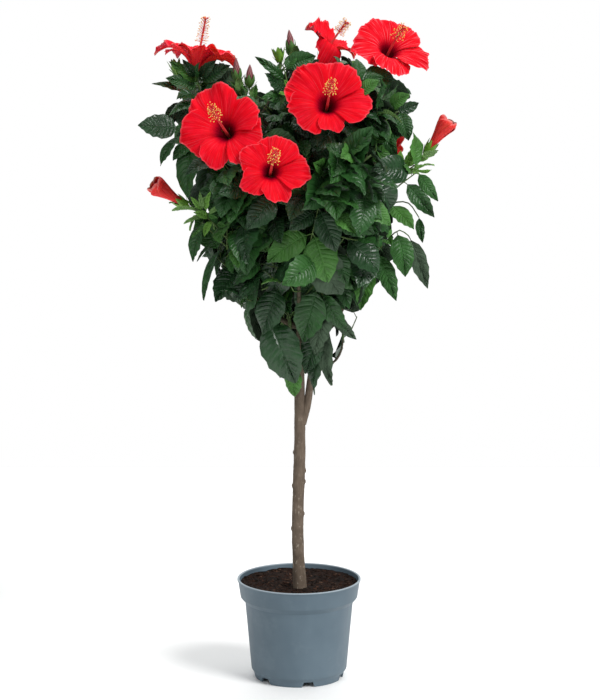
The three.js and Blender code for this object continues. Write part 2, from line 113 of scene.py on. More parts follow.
def calculated(tree, operation, *values):
    node = addNode(tree, "ShaderNodeMath", {"operation": operation})
    for socket, value in zip(node.inputs, values):
        feed(socket, value)
    return node.outputs[0]


def times(tree, first, second):
    return calculated(tree, "MULTIPLY", first, second)


def fromMiddle(tree, value):  # 0 at 0.5, and 1 at 0 and 1
    return times(tree, calculated(tree, "ABSOLUTE", calculated(tree, "SUBTRACT", value, 0.5)), 2.0)


def noiseField(tree, vector, scale, detail=2.0, roughness=0.6, stretch=None):
    if stretch:
        mapping = addNode(tree, "ShaderNodeMapping", Scale=stretch)
        feed(mapping.inputs["Vector"], vector)
        vector = mapping.outputs["Vector"]
    node = addNode(tree, "ShaderNodeTexNoise", Detail=detail, Roughness=roughness)
    feed(node.inputs["Vector"], vector)
    feed(node.inputs["Scale"], scale)
    return node.outputs["Fac"]


def objectPlaces(tree):
    return addNode(tree, "ShaderNodeTexCoord").outputs["Object"]


def partsOf(tree, vector):
    node = addNode(tree, "ShaderNodeSeparateXYZ")
    feed(node.inputs[0], vector)
    return node.outputs


def ownMap(tree):  # a piece's own map, and how far across and along it a place lies
    uv = addNode(tree, "ShaderNodeUVMap", {"uv_map": "UVMap"}).outputs["UV"]
    parts = partsOf(tree, uv)
    return uv, parts["X"], parts["Y"]


def newGroup(name, inputs, outputs):
    group = bpy.data.node_groups.new(name, "ShaderNodeTree")

    def kindOf(label):
        return "NodeSocketColor" if "Colour" in label else "NodeSocketFloat"

    for label, value in inputs.items():
        group.interface.new_socket(label, in_out="INPUT", socket_type=kindOf(label)).default_value = value
    for label in outputs:
        group.interface.new_socket(label, in_out="OUTPUT", socket_type=kindOf(label))
    return group, group.nodes.new("NodeGroupInput").outputs, group.nodes.new("NodeGroupOutput").inputs


# Broad patches of a second colour and a fine grain for a bump
def makeMottle():
    group, given, out = newGroup("mottle", {
        "Colour": (0.5, 0.5, 0.5, 1), "Patch Colour": (0.2, 0.2, 0.2, 1), "Patches": 20.0, "Amount": 0.5,
        "Grain": 400.0,
    }, ("Colour", "Mask", "Height"))
    places = objectPlaces(group)
    mask = ranged(group, noiseField(group, places, given["Patches"], 3.0), 0.35, 0.65)
    feed(out["Colour"], mixed(group, times(group, mask, given["Amount"]), given["Colour"], given["Patch Colour"]))
    feed(out["Mask"], mask)
    feed(out["Height"], noiseField(group, places, given["Grain"]))
    return group


mottle = makeMottle()


def addMottle(tree, colour, patchColour, patches, amount, grain):
    return addNode(tree, "ShaderNodeGroup", {"node_tree": mottle}, Colour=(*colour, 1), Patch_Colour=(*patchColour, 1),
                   Patches=patches, Amount=amount, Grain=grain).outputs


def newMaterial(name, roughness, **values):
    material = bpy.data.materials.new(name)
    material.use_nodes = True
    shader = setInputs(material.node_tree.nodes["Principled BSDF"], Roughness=roughness, **values)
    return material, material.node_tree, shader


def surfaced(shader, colour, height, strength, distance=0.001):  # a shader's colour, and a bump of the height
    bump = addNode(shader.id_data, "ShaderNodeBump", Strength=strength, Distance=distance)
    feed(bump.inputs["Height"], height)
    feed(shader.inputs["Base Color"], colour)
    feed(shader.inputs["Normal"], bump.outputs["Normal"])


# Materials with patches and grain alone, each with its colour, the patches' colour, how many and how strong
# the patches are, the grain, the bump and the roughness
def mottledMaterials(plans):
    made = []
    for name, (colour, patchColour, patches, amount, grain, bump, roughness) in plans.items():
        material, tree, shader = newMaterial(name, roughness)
        node = addMottle(tree, colour, patchColour, patches, amount, grain)
        surfaced(shader, node["Colour"], node["Height"], bump)
        made.append(material)
    return made


# Camera and light

def linked(thing):
    scene.collection.objects.link(thing)
    return thing


def makeCamera():
    lens = bpy.data.cameras.new("camera")
    lens.lens, lens.sensor_fit, lens.sensor_height = studio["lens"], "VERTICAL", studio["sensorHeight"]
    camera = linked(bpy.data.objects.new("camera", lens))
    camera.location = studio["cameraPlace"]
    camera.rotation_euler = (math.radians(90 - studio["tiltDown"]), 0, 0)
    scene.camera = camera


def makeSun(name, turn, rise, strength, spread):
    lamp = bpy.data.lights.new(name, "SUN")
    lamp.energy, lamp.angle = strength, math.radians(spread)
    linked(bpy.data.objects.new(name, lamp)).rotation_euler = (math.radians(90 - rise), 0, math.radians(turn))


def makeWorld():
    world = bpy.data.worlds.new("studio")
    scene.world = world
    world.use_nodes = True
    tree = world.node_tree
    light = setInputs(tree.nodes["Background"], Color=(*studio["worldColour"], 1), Strength=studio["worldLight"])
    backdrop = addNode(tree, "ShaderNodeBackground", Color=(1, 1, 1, 1))  # what the camera alone sees
    mixer = addNode(tree, "ShaderNodeMixShader")
    sources = addNode(tree, "ShaderNodeLightPath").outputs["Is Camera Ray"], light.outputs[0], backdrop.outputs[0]
    for socket, source in zip(mixer.inputs, sources):
        feed(socket, source)
    feed(tree.nodes["World Output"].inputs["Surface"], mixer.outputs["Shader"])


makeCamera()
makeWorld()
for sunName, sunPlan in suns.items():
    makeSun(sunName, **sunPlan)
print("camera and light set")


# Finished pieces, from bmesh or from heaps of arrays

def finished(piece, slotName, *nodeNames):
    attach(piece, "root")
    if nodeNames:
        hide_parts(*nodeNames)


def newPiece(name, data, materials, sharpAngle):
    for material in materials:
        data.materials.append(material)
    data.shade_smooth()
    if sharpAngle:
        data.set_sharp_from_angle(angle=math.radians(sharpAngle))
    return linked(bpy.data.objects.new(name, data))


def pieceFromBmesh(name, body, materials):
    bmesh.ops.scale(body, vec=(mm, mm, mm), verts=body.verts)
    data = bpy.data.meshes.new(name)
    body.to_mesh(data)
    body.free()
    return newPiece(name, data, materials, None)


def newHeap():
    return {"points": [], "faces": [], "uv": [], "finish": [], "count": 0}


# Adds copies of a shape: points are (copies, corners, 3), faces are blocks of corner numbers,
# and a finish is one material number for all, or one for each copy
def addToHeap(heap, points, blocks, finishes, uv=None):
    points = np.asarray(points, float)
    points = points[None] if points.ndim == 2 else points
    copies, corners = points.shape[:2]
    first = heap["count"] + np.arange(copies)[:, None, None] * corners
    for block, finish in zip(blocks, finishes):
        block = np.asarray(block)
        heap["faces"].append((first + block[None]).reshape(-1, block.shape[1]))
        heap["finish"].append(np.repeat(np.broadcast_to(finish, copies), len(block)))
    uv = np.zeros((corners, 2)) if uv is None else uv
    heap["uv"].append(np.broadcast_to(uv, (copies, corners, 2)).reshape(-1, 2))
    heap["points"].append(points.reshape(-1, 3))
    heap["count"] += copies * corners


def pieceFromHeap(name, heap, materials, sharpAngle=60):
    points = np.concatenate(heap["points"]) * mm
    corners = np.concatenate([block.ravel() for block in heap["faces"]])
    sizes = np.concatenate([np.full(len(block), block.shape[1]) for block in heap["faces"]])
    data = bpy.data.meshes.new(name)
    data.vertices.add(len(points))
    data.vertices.foreach_set("co", points.astype(np.float32).ravel())
    data.loops.add(len(corners))
    data.loops.foreach_set("vertex_index", corners.astype(np.int32))
    data.polygons.add(len(sizes))
    data.polygons.foreach_set("loop_start", (np.cumsum(sizes) - sizes).astype(np.int32))
    data.polygons.foreach_set("material_index", np.concatenate(heap["finish"]).astype(np.int32))
    uvLayer = data.uv_layers.new(name="UVMap")
    uvLayer.data.foreach_set("uv", np.concatenate(heap["uv"])[corners].astype(np.float32).ravel())
    data.update(calc_edges=True)
    data.validate()
    return newPiece(name, data, materials, sharpAngle)


# Numbers, vectors and curves

def unit(vectors):
    return vectors / np.linalg.norm(vectors, axis=-1, keepdims=True)


def lerp(low, high, share):
    return low + (high - low) * share


def around(angle, radius, height):  # angle from the front, rising towards +X
    turn = math.radians(angle)
    return np.array([radius * math.sin(turn), -radius * math.cos(turn), height])


def facing(angle, rise):
    return around(angle, math.cos(math.radians(rise)), math.sin(math.radians(rise)))


def ray(turn, rise):
    return np.array([math.cos(turn), math.sin(turn), rise])


def turnedAbout(vector, axis, angle):
    cosine, sine = math.cos(angle), math.sin(angle)
    return vector * cosine + np.cross(axis, vector) * sine + axis * np.dot(axis, vector) * (1 - cosine)


def besides(way, degrees):  # square to a way, turned about it
    return turnedAbout(unit(np.cross(up, way)), way, math.radians(degrees))


def lumpy(x, y, z):
    return noise.noise((x, y, z))


def table(keys, rows):  # one dictionary for each row, which may stop short of the last keys
    return [dict(zip(keys.split(), row)) for row in rows]


def seeded(seed):  # numbers from 0 to 1, the same for the same seed
    span, factor, step = 2**32, 1664525, 1013904223
    state = (seed * 7919 + 104729) % span

    def following():
        nonlocal state
        state = (state * factor + step) % span
        return state / span

    following()
    following()
    return following


def along(values, share):
    return np.interp(np.clip(share, 0, 1) * (len(values) - 1), np.arange(len(values)), values)


def curveOf(points):
    steps = np.linalg.norm(np.diff(points, axis=0), axis=1)
    return {"points": points, "reach": np.concatenate([[0], np.cumsum(steps)])}


def curveThrough(places, count=60):
    places = np.array(places, float)
    padded = np.vstack([2 * places[0] - places[1], places, 2 * places[-1] - places[-2]])
    runs = []
    for before, start, end, after in zip(padded, padded[1:], padded[2:], padded[3:]):
        t = np.linspace(0, 1, count, endpoint=False)[:, None]
        leave, arrive = (end - before) / 2, (after - start) / 2
        runs.append(
            start + leave * t + (3 * (end - start) - 2 * leave - arrive) * t**2
            + (2 * (start - end) + leave + arrive) * t**3
        )
    return curveOf(np.vstack([*runs, places[-1:]]))


def bezier(*corners, count=48):
    t = np.linspace(0, 1, count)[:, None]
    level = [np.repeat(corner[None], count, 0) for corner in corners]
    while len(level) > 1:
        level = [a + (b - a) * t for a, b in zip(level, level[1:])]
    return curveOf(level[0])


def lengthOf(curve):
    return curve["reach"][-1]


def pointAt(curve, share):
    place = np.asarray(share, float) * curve["reach"][-1]
    return np.stack([np.interp(place, curve["reach"], curve["points"][:, k]) for k in range(3)], -1)


def wayAt(curve, share):
    low, high = np.clip(np.asarray(share) - 0.005, 0, 1), np.clip(np.asarray(share) + 0.005, 0, 1)
    return unit(pointAt(curve, high) - pointAt(curve, low))


def atHeight(curve, height):
    heights = curve["points"][:, 2]
    return pointAt(curve, np.interp(height, heights, curve["reach"]) / curve["reach"][-1])


# Frames carried along a chain of points without twisting
def framesAlong(points):
    ways = unit(np.gradient(points, axis=0))
    side = np.cross(ways[0], up if abs(ways[0][2]) < 0.9 else np.array([0.0, 1.0, 0.0]))
    sides = []
    for way in ways:
        side = unit(side - way * np.dot(side, way))
        sides.append(side)
    sides = np.array(sides)
    return ways, sides, np.cross(ways, sides)


def tube(points, radii, sideCount):
    ways, sides, overs = framesAlong(points)
    turns = np.arange(sideCount) * 2 * math.pi / sideCount
    rings = (
        points[:, None]
        + (np.cos(turns)[:, None] * sides[:, None] + np.sin(turns)[:, None] * overs[:, None])
        * np.asarray(radii)[:, None, None]
    )
    count = len(points)
    corner = np.arange(count * sideCount).reshape(count, sideCount)
    following = np.roll(corner, -1, axis=1)
    walls = np.stack([corner[:-1], following[:-1], following[1:], corner[1:]], -1).reshape(-1, 4)
    foot, tip = count * sideCount, count * sideCount + 1
    footCap = np.stack([np.full(sideCount, foot), following[0], corner[0]], -1)
    tipCap = np.stack([np.full(sideCount, tip), corner[-1], following[-1]], -1)
    uv = np.zeros((count * sideCount + 2, 2))
    uv[:-2, 0] = np.tile(np.arange(sideCount) / sideCount, count)
    uv[:-2, 1] = np.repeat(np.linspace(0, 1, count), sideCount)
    uv[-1, 1] = 1
    return np.vstack([rings.reshape(-1, 3), points[:1], points[-1:]]), [walls, footCap, tipCap], uv


def addTube(heap, points, radii, sideCount, finish):
    corners, blocks, uv = tube(np.asarray(points), radii, sideCount)
    addToHeap(heap, corners, blocks, [finish] * 3, uv)


def quads(grid):
    return np.stack([grid[:-1, :-1], grid[:-1, 1:], grid[1:, 1:], grid[1:, :-1]], -1).reshape(-1, 4)


# A thin closed sheet: the grid (rows, columns, 3) is its upper side, and the lower one lies under it by the
# thickness and shares its rim
def addSheet(heap, grid, thickness, finishes):
    rows, columns = grid.shape[:2]
    normals = np.cross(np.gradient(grid, axis=1), np.gradient(grid, axis=0))
    normals /= np.maximum(np.linalg.norm(normals, axis=-1, keepdims=True), 1e-9)
    under = (grid - normals * thickness)[1:-1, 1:-1]
    upper = np.arange(rows * columns).reshape(rows, columns)
    lower = upper.copy()
    lower[1:-1, 1:-1] = upper.size + np.arange((rows - 2) * (columns - 2)).reshape(rows - 2, columns - 2)
    flat = np.stack(np.meshgrid(np.linspace(0, 1, columns), np.linspace(0, 1, rows)), -1)
    uv = np.concatenate([flat.reshape(-1, 2), flat[1:-1, 1:-1].reshape(-1, 2)])
    points = np.concatenate([grid.reshape(-1, 3), under.reshape(-1, 3)])
    addToHeap(heap, points, [quads(upper), quads(lower)[:, ::-1]], finishes, uv)


# Places local shapes, drawn about +Z, at a foot and along a way, turned about it by spin
def placed(points, foot, way, spin=0.0):
    side = unit(np.cross(way, up if abs(way[2]) < 0.95 else np.array([0.0, 1.0, 0.0])))
    side = turnedAbout(side, way, math.radians(spin))
    over = np.cross(way, side)
    return foot + points[..., :1] * side + points[..., 1:2] * over + points[..., 2:] * way


# A sheet round a flower's axis, from the radii, turns and heights of its corners
def addRoundSheet(heap, r, turn, z, foot, way, thickness, finishes):
    grid = np.stack(np.broadcast_arrays(r * np.cos(turn), r * np.sin(turn), z), -1)
    addSheet(heap, placed(grid, foot, way), thickness, finishes)


def gridShares(rows, columns):  # from 0 to 1 along the rows, and from -1 to 1 across them
    return np.linspace(0, 1, rows + 1)[:, None], np.linspace(-1, 1, columns + 1)[None]


# The pot

pot = {
    "height": 155, "lipRadius": 95, "lipHeight": 3, "lipWidth": 1.2, "collarFootRadius": 90, "collarFoot": 127,
    "wallTopRadius": 83, "wallTop": 119, "wallFootRadius": 73.5, "wallFoot": 14, "feetRadius": 70,
    "toeRadius": 68, "toeWidth": 3, "feetHeight": 8.5, "wall": 2, "floor": 2.5, "facets": 144,
    "notches": 6, "notchTurn": 12, "notchTop": 14, "notchFoot": 21, "notchReach": (56, 76),
    "drains": 6, "drainRadius": 7, "drainCircle": 50, "drainDepth": 14, "drainSides": 28,
    "edge": 0.7, "edgeSteps": 3, "edgeLeast": 12, "sharp": 32,  # edges turned further than the least are rounded
    "colour": (0.08, 0.119, 0.15), "patch": (0.108, 0.153, 0.188), "dust": (0.165, 0.21, 0.24),
    # The pale colour on a thin band just under the top is a painted highlight along the lip.
    "lipHighlight": (0.36, 0.42, 0.46), "mottle": (9.0, 0.8, 900.0), "lipHighlightBand": (1.8, 0.6),
}


def insideWall(height):
    inCollar = height > pot["collarFoot"]
    low, high = (pot["collarFoot"], pot["height"]) if inCollar else (pot["wallFoot"], pot["wallTop"])
    narrow = pot["collarFootRadius"] if inCollar else pot["wallFootRadius"]
    wide = pot["lipRadius"] - pot["lipWidth"] if inCollar else pot["wallTopRadius"]
    return lerp(narrow, wide, (height - low) / (high - low)) - pot["wall"]


def spun(profile, facets):
    body = bmesh.new()
    corners = [body.verts.new((radius, 0, height)) for radius, height in profile]
    edges = [body.edges.new(pair) for pair in zip(corners, corners[1:])]
    bmesh.ops.spin(
        body, geom=corners + edges, cent=(0, 0, 0), axis=(0, 0, 1), dvec=(0, 0, 0),
        angle=2 * math.pi, steps=facets, use_merge=True, use_duplicate=False,
    )
    bmesh.ops.remove_doubles(body, verts=body.verts, dist=1e-4)
    bmesh.ops.recalc_face_normals(body, faces=body.faces)
    return body


# One body holding every notch and drain hole of the pot's foot
def makeFootCuts():
    body = bmesh.new()
    near, far = pot["notchReach"]
    wide, narrow, top = pot["notchFoot"] / 2, pot["notchTop"] / 2, pot["feetHeight"]
    for i in range(pot["notches"]):
        corners = [body.verts.new((x, -near, z)) for x, z in ((-wide, -1), (wide, -1), (narrow, top), (-narrow, top))]
        face = body.faces.new(corners)
        grown = bmesh.ops.extrude_face_region(body, geom=[face])["geom"]
        moved = [v for v in grown if isinstance(v, bmesh.types.BMVert)]
        bmesh.ops.translate(body, verts=moved, vec=(0, near - far, 0))
        turn = math.radians(pot["notchTurn"] + 360 / pot["notches"] * i)
        bmesh.ops.rotate(body, verts=corners + moved, cent=(0, 0, 0), matrix=Matrix.Rotation(turn, 3, "Z"))
    for i in range(pot["drains"]):
        x, y, _ = around(360 / pot["drains"] * i, pot["drainCircle"], 0)
        made = bmesh.ops.create_cone(
            body, cap_ends=True, segments=pot["drainSides"], radius1=pot["drainRadius"], radius2=pot["drainRadius"],
            depth=pot["drainDepth"],
        )
        bmesh.ops.translate(body, verts=made["verts"], vec=(x, y, pot["feetHeight"] + pot["floor"]))
    bmesh.ops.recalc_face_normals(body, faces=body.faces)
    return body


def makePotMaterial():
    material, tree, shader = newMaterial("pot_plastic", 0.5, Specular_IOR_Level=0.35)
    node = addMottle(tree, pot["colour"], pot["patch"], *pot["mottle"])
    places = objectPlaces(tree)
    streaks = noiseField(tree, places, 60.0, 2.0, 0.5, (1.0, 1.0, 0.06))  # flow marks of the moulding
    colour = laidOver(tree, node["Colour"], pot["patch"], streaks, (0.45, 0.7), (0.0, 0.22))
    dust = noiseField(tree, places, 25.0, 4.0, 0.7)
    colour = laidOver(tree, colour, pot["dust"], dust, (0.55, 0.75), (0.0, 0.25))
    band = [(pot["height"] - below) * mm for below in pot["lipHighlightBand"]]
    colour = laidOver(tree, colour, pot["lipHighlight"], partsOf(tree, places)["Z"], band, (0.0, 0.75))  # a painted highlight along the lip
    feed(shader.inputs["Roughness"], ranged(tree, streaks, 0.3, 0.7, 0.44, 0.56))
    surfaced(shader, colour, node["Height"], 0.12, 0.0004)
    return material


def makePot():
    p, floorTop = pot, pot["feetHeight"] + pot["floor"]
    lipFoot, collar = p["height"] - p["lipHeight"], p["collarFoot"] + 1
    body = spun([
        (0, p["feetHeight"]), (p["toeRadius"] - p["toeWidth"], p["feetHeight"]),
        (p["toeRadius"] - p["toeWidth"] + 0.5, 0), (p["toeRadius"], 0), (p["feetRadius"], p["feetHeight"]),
        (p["wallFootRadius"], p["wallFoot"]), (p["wallTopRadius"], p["wallTop"]),
        (p["collarFootRadius"], p["collarFoot"]), (p["lipRadius"] - p["lipWidth"], lipFoot),
        (p["lipRadius"], lipFoot + 0.6), (p["lipRadius"], p["height"]),
        *((insideWall(height), height) for height in (p["height"], collar, p["wallTop"], floorTop)), (0, floorTop),
    ], p["facets"])
    edges = [e for e in body.edges if e.is_manifold and math.degrees(e.calc_face_angle()) > p["edgeLeast"]]
    bmesh.ops.bevel(
        body, geom=edges, offset=p["edge"], offset_type="OFFSET", affect="EDGES", segments=p["edgeSteps"],
        profile=0.5, material=-1, clamp_overlap=True,
    )
    piece = pieceFromBmesh("pot_shell", body, [makePotMaterial()])
    cutter = pieceFromBmesh("foot_cuts", makeFootCuts(), [])
    cut = piece.modifiers.new("cut", "BOOLEAN")
    cut.operation, cut.solver, cut.object = "DIFFERENCE", "EXACT", cutter
    bpy.context.view_layer.update()
    whole = bpy.data.meshes.new_from_object(piece.evaluated_get(bpy.context.evaluated_depsgraph_get()))
    piece.modifiers.clear()
    piece.data = whole
    whole.name = "pot_shell"
    whole.shade_smooth()
    whole.set_sharp_from_angle(angle=math.radians(p["sharp"]))
    bpy.data.objects.remove(cutter)
    finished(piece, "pot", "pot")


makePot()
print("pot made")

# Compost, crumbs and fibres

compost = {
    "top": 142, "rise": 6, "edge": 86, "sink": 1.2, "rings": 46, "facets": 150, "wallRoom": 0.4,
    "relief": 2.4, "lumps": (16, 6, 2.4),  # how wide the broad lumps, the small ones and the crumbs of the relief are
    "stemPlace": (2, -14), "mound": 3.2, "moundSpread": 420,  # drawn up a little round the stem
    "colour": (0.006, 0.004, 0.003), "patch": (0.018, 0.009, 0.006), "reddish": (0.05, 0.02, 0.012),
    "tan": (0.12, 0.07, 0.045), "mottle": (60.0, 0.8, 700.0),
}
crumbs = {
    "seed": 21, "count": 1500, "spread": 90, "reach": 88.5, "stemRoom": 12, "size": (0.8, 2.9), "bumps": 0.35,
    "width": (0.6, 1.2), "height": (0.4, 0.9), "shares": (0.72, 0.22, 0.06),
    "chips": 90, "chipLength": (2, 5), "chipWidth": (0.8, 2), "chipHeight": 0.45, "chipShares": (0.6, 0.4),
    "fibres": 210, "fibreLength": (5, 17), "fibreRadius": (0.2, 0.45),
}


def compostLift(x, y):
    wide, narrow, fine = compost["lumps"]
    stemX, stemY = compost["stemPlace"]
    far = math.hypot(x, y) / compost["edge"]
    relief = (lumpy(x / wide, y / wide, 3) + 0.6 * lumpy(x / narrow, y / narrow, 8)) * 0.6
    relief = compost["relief"] * (relief + 0.45 * abs(lumpy(x / fine, y / fine, 5)))
    mound = compost["mound"] * math.exp(-((x - stemX) ** 2 + (y - stemY) ** 2) / compost["moundSpread"])
    return compost["top"] + compost["rise"] * far**3 + relief + mound - compost["sink"]


def makeCompostMaterial(name, colour, patch, roughness=0.95):
    material, tree, shader = newMaterial(name, roughness, Specular_IOR_Level=0.15)
    node = addMottle(tree, colour, patch, *compost["mottle"])
    specks = noiseField(tree, objectPlaces(tree), 420.0, 1.0)
    surfaced(shader, laidOver(tree, node["Colour"], compost["reddish"], specks, (0.62, 0.72)), node["Height"],
             0.9, 0.0014)
    return material


def makeCompost():
    foot = pot["feetHeight"] + pot["floor"] + 0.3

    def wallAt(height):
        return insideWall(height) - compost["wallRoom"]

    radii = np.linspace(0, wallAt(compost["top"] + compost["rise"]), compost["rings"])
    profile = [(radius, compost["top"]) for radius in radii]
    profile += [(wallAt(height), height) for height in (pot["collarFoot"] + 1, pot["wallTop"], foot)] + [(0, foot)]
    body = spun(profile, compost["facets"])
    for corner in body.verts:
        if corner.co.z > compost["top"] - 1:
            corner.co.z = compostLift(corner.co.x, corner.co.y)
    material = makeCompostMaterial("compost_peat", compost["colour"], compost["patch"])
    finished(pieceFromBmesh("compost_bed", body, [material]), "compost", "compost")


def makeBall():
    body = bmesh.new()
    bmesh.ops.create_icosphere(body, subdivisions=1, radius=1)
    points = np.array([v.co[:] for v in body.verts])
    faces = np.array([[v.index for v in f.verts] for f in body.faces])
    body.free()
    return points, faces


ballPoints, ballFaces = makeBall()


def makeCrumbs():
    c, heap, rng = crumbs, newHeap(), np.random.default_rng(crumbs["seed"])
    stemPlace = np.array(compost["stemPlace"])

    def between(span):
        return lerp(*span, rng.random())

    def spots(count):
        radius, turn = c["spread"] * np.sqrt(rng.random(count)), 2 * math.pi * rng.random(count)
        x, y = radius * np.cos(turn), radius * np.sin(turn)
        clear = (np.hypot(x, y) < c["reach"]) & (np.hypot(x - stemPlace[0], y - stemPlace[1]) > c["stemRoom"])
        return [np.array([a, b, compostLift(a, b)]) for a, b in zip(x[clear], y[clear])]

    copies = np.array([
        place + (ballPoints * (1 + c["bumps"] * rng.standard_normal((len(ballPoints), 1))))
        * lerp(*c["size"], rng.random() ** 3) * np.array([1, between(c["width"]), between(c["height"])])
        for place in spots(c["count"])
    ])
    addToHeap(heap, copies, [ballFaces], [rng.choice(3, len(copies), p=c["shares"])])
    copies = np.array([
        placed(ballPoints * np.array([between(c["chipLength"]), between(c["chipWidth"]), c["chipHeight"]]),
               place + up * 0.8, unit(up + 0.5 * rng.standard_normal(3)), 360 * rng.random())
        for place in spots(c["chips"])
    ])
    addToHeap(heap, copies, [ballFaces], [rng.choice([1, 2], len(copies), p=c["chipShares"])])
    for place in spots(c["fibres"]):
        turn, reach = 2 * math.pi * rng.random(), between(c["fibreLength"])
        way = ray(turn, 0.15 * rng.standard_normal())
        bow = np.array([-way[1], way[0], 0.2]) * reach * 0.3 * rng.standard_normal()
        curve = bezier(place + up * 0.6, place + way * reach / 2 + bow + up * 1.6, place + way * reach + up * 0.5)
        end = curve["points"][-1][:2]
        if np.hypot(*end) < c["reach"] - 0.5 and np.hypot(*(end - stemPlace)) > c["stemRoom"] - 1:
            addTube(heap, pointAt(curve, np.linspace(0, 1, 6)), np.full(6, between(c["fibreRadius"])), 4,
                    int(rng.choice([1, 2])))
    materials = [
        makeCompostMaterial("compost_crumb", compost["colour"], compost["patch"]),
        makeCompostMaterial("compost_fibre", compost["patch"], compost["reddish"]),
        makeCompostMaterial("compost_bark_chip", compost["reddish"], compost["tan"], 0.85),
    ]
    finished(pieceFromHeap("compost_crumbs", heap, materials, 40), "compost")


makeCompost()
makeCrumbs()
print("compost made")

# The plan of the plant, with the same values and rules as its solids

trunk = {
    "through": [(2, -14, 132), (-2, -10, 232), (1, -6, 356), (1, -4, 425), (1, -2, 480), (4, 0, 580), (6, 2, 690)],
    "radii": [9.2, 8.7, 9.3, 8.2, 7.4, 6.6, 5], "flare": 2.6, "flareHeight": 26, "sides": 40, "rings": 460,
}
secondStem = {
    "through": [(5, -5, 398), (13, -4, 430), (17.5, -3, 465), (24, 0, 510), (42, 5, 570), (70, 8, 636)],
    "radii": [6.2, 5.6, 5.1, 4.9, 4.5, 3.8], "side": 90, "sector": 62, "highestFork": 628, "sides": 28, "rings": 170,
}
crown = {"foot": 422, "shoulder": 775, "brow": 850, "top": 968, "reach": 214, "swell": 1.5}
tiers = table("name count turn fork tip stem low high twigs fill leaf droop outward lift", (
    ("skirt", 3, 300, (460, 474), None, 44, 524, 590, 4, (0.7, 0.85), 106, 1.4, 0, 0),
    ("waist", 5, 0, (500, 560), (80, 606), 40, 585, 700, 5, (0.75, 0.85), 106, 1.5, 0.45, 0.03),
    ("shoulder", 6, 24, (572, 640), (92, 716), 40, 690, 860, 5, (0.75, 0.85), 92, 1.1, 0.5, 0.06),
    ("head", 5, 48, (640, 672), (64, 806), 40, 875, 945, 4, (0.75, 0.85), 80, 0.45, 0.5, 0.075),
    ("crest", 1, 90, None, None, 170, 885, 962, 5, (0.25, 0.6), 68, 0.3, 0.4, 0),
))
bough = {"root": 4.6, "tip": 3.1, "sag": 0.14, "sides": 20, "rings": 60}
stem = {"tip": 2.2}
twigPlan = {
    "root": 1.9, "tip": 1.1, "roots": (0.3, 0.94), "bend": 0.32, "spread": 330, "room": 2, "bare": 0.26,
    "first": 0.62, "pitch": 23, "seed": 4, "frontMargin": -12, "leastLeft": 0.45, "leastReach": 0.3,
}
sidePlan = {  # finer twigs off the leafy ones, with the bend as a share of the length, a reach and a rise
    "shares": (0.35, 0.5, 0.65, 0.8, 0.93), "length": (24, 62), "shrunk": 0.6, "root": 1.2, "tip": 0.7, "leaves": 4,
    "leafShare": 0.84, "margin": 12, "turn": 200, "lean": 0.9, "rise": 0.25, "lift": 0.12, "bend": (0.5, 0, 0),
}
innerPlan = {  # short leafy twigs off the boughs, which keep the inside of the crown full
    "shares": (0.3, 0.42, 0.54, 0.66, 0.78, 0.9), "length": (45, 105), "shrunk": 1.0, "leaves": 6,
    "leafShare": 0.8, "margin": math.inf, "turn": 60, "lean": 0.5, "rise": 0.5, "lift": 0, "bend": (0, 20, 8),
}
leafPlan = {
    "width": 0.61, "thickness": 0.5, "tries": 8, "turn": 71, "margin": 22, "seed": 76, "stalk": 0.2,
    "shrink": (1.05, 0.62), "rows": 11, "columns": 6, "tooth": 0.065,
    "apart": 4.6, "leavesWithin": 130, "limbRoom": 2.5, "limbsWithin": 140,
    "pillow": 0.055, "pillowAcross": ((0, 0.33, 0.67, 1), (0.15, 1, 0.9, 0.3)), "edgeLift": 0.006,
    "widths": (0.92, 1.08), "folds": (0.0, 0.34), "humps": (0.02, 0.22), "waves": (0.0, 0.04),
    "waveCounts": (6, 12), "wavePlaces": (0, 6.3), "twists": (-0.5, 0.5), "bows": (0.2, 1.15),
    "mottle": (46.0, 0.5, 620.0), "ribWidth": 0.3,
}
frontReach = {  # how far the crown reaches to either side and to the top, seen from the front
    "heights": (440, 480, 520, 540, 560, 600, 640, 700, 760, 815, 860, 890, 920, 968),
    "left": (24, 46, 62, 72, 82, 116, 140, 150, 165, 192, 205, 188, 188, 170),
    "right": (26, 48, 56, 70, 94, 118, 134, 138, 142, 155, 170, 168, 160, 150),
    "places": (-230, -200, -180, -150, -95, -88, -72, -60, -45, -32, -24, -18, 25, 32, 90, 100, 160, 230),
    "tops": (870, 925, 940, 950, 945, 925, 905, 898, 898, 912, 940, 956, 958, 955, 955, 930, 925, 900),
    "slope": 0.073,
}
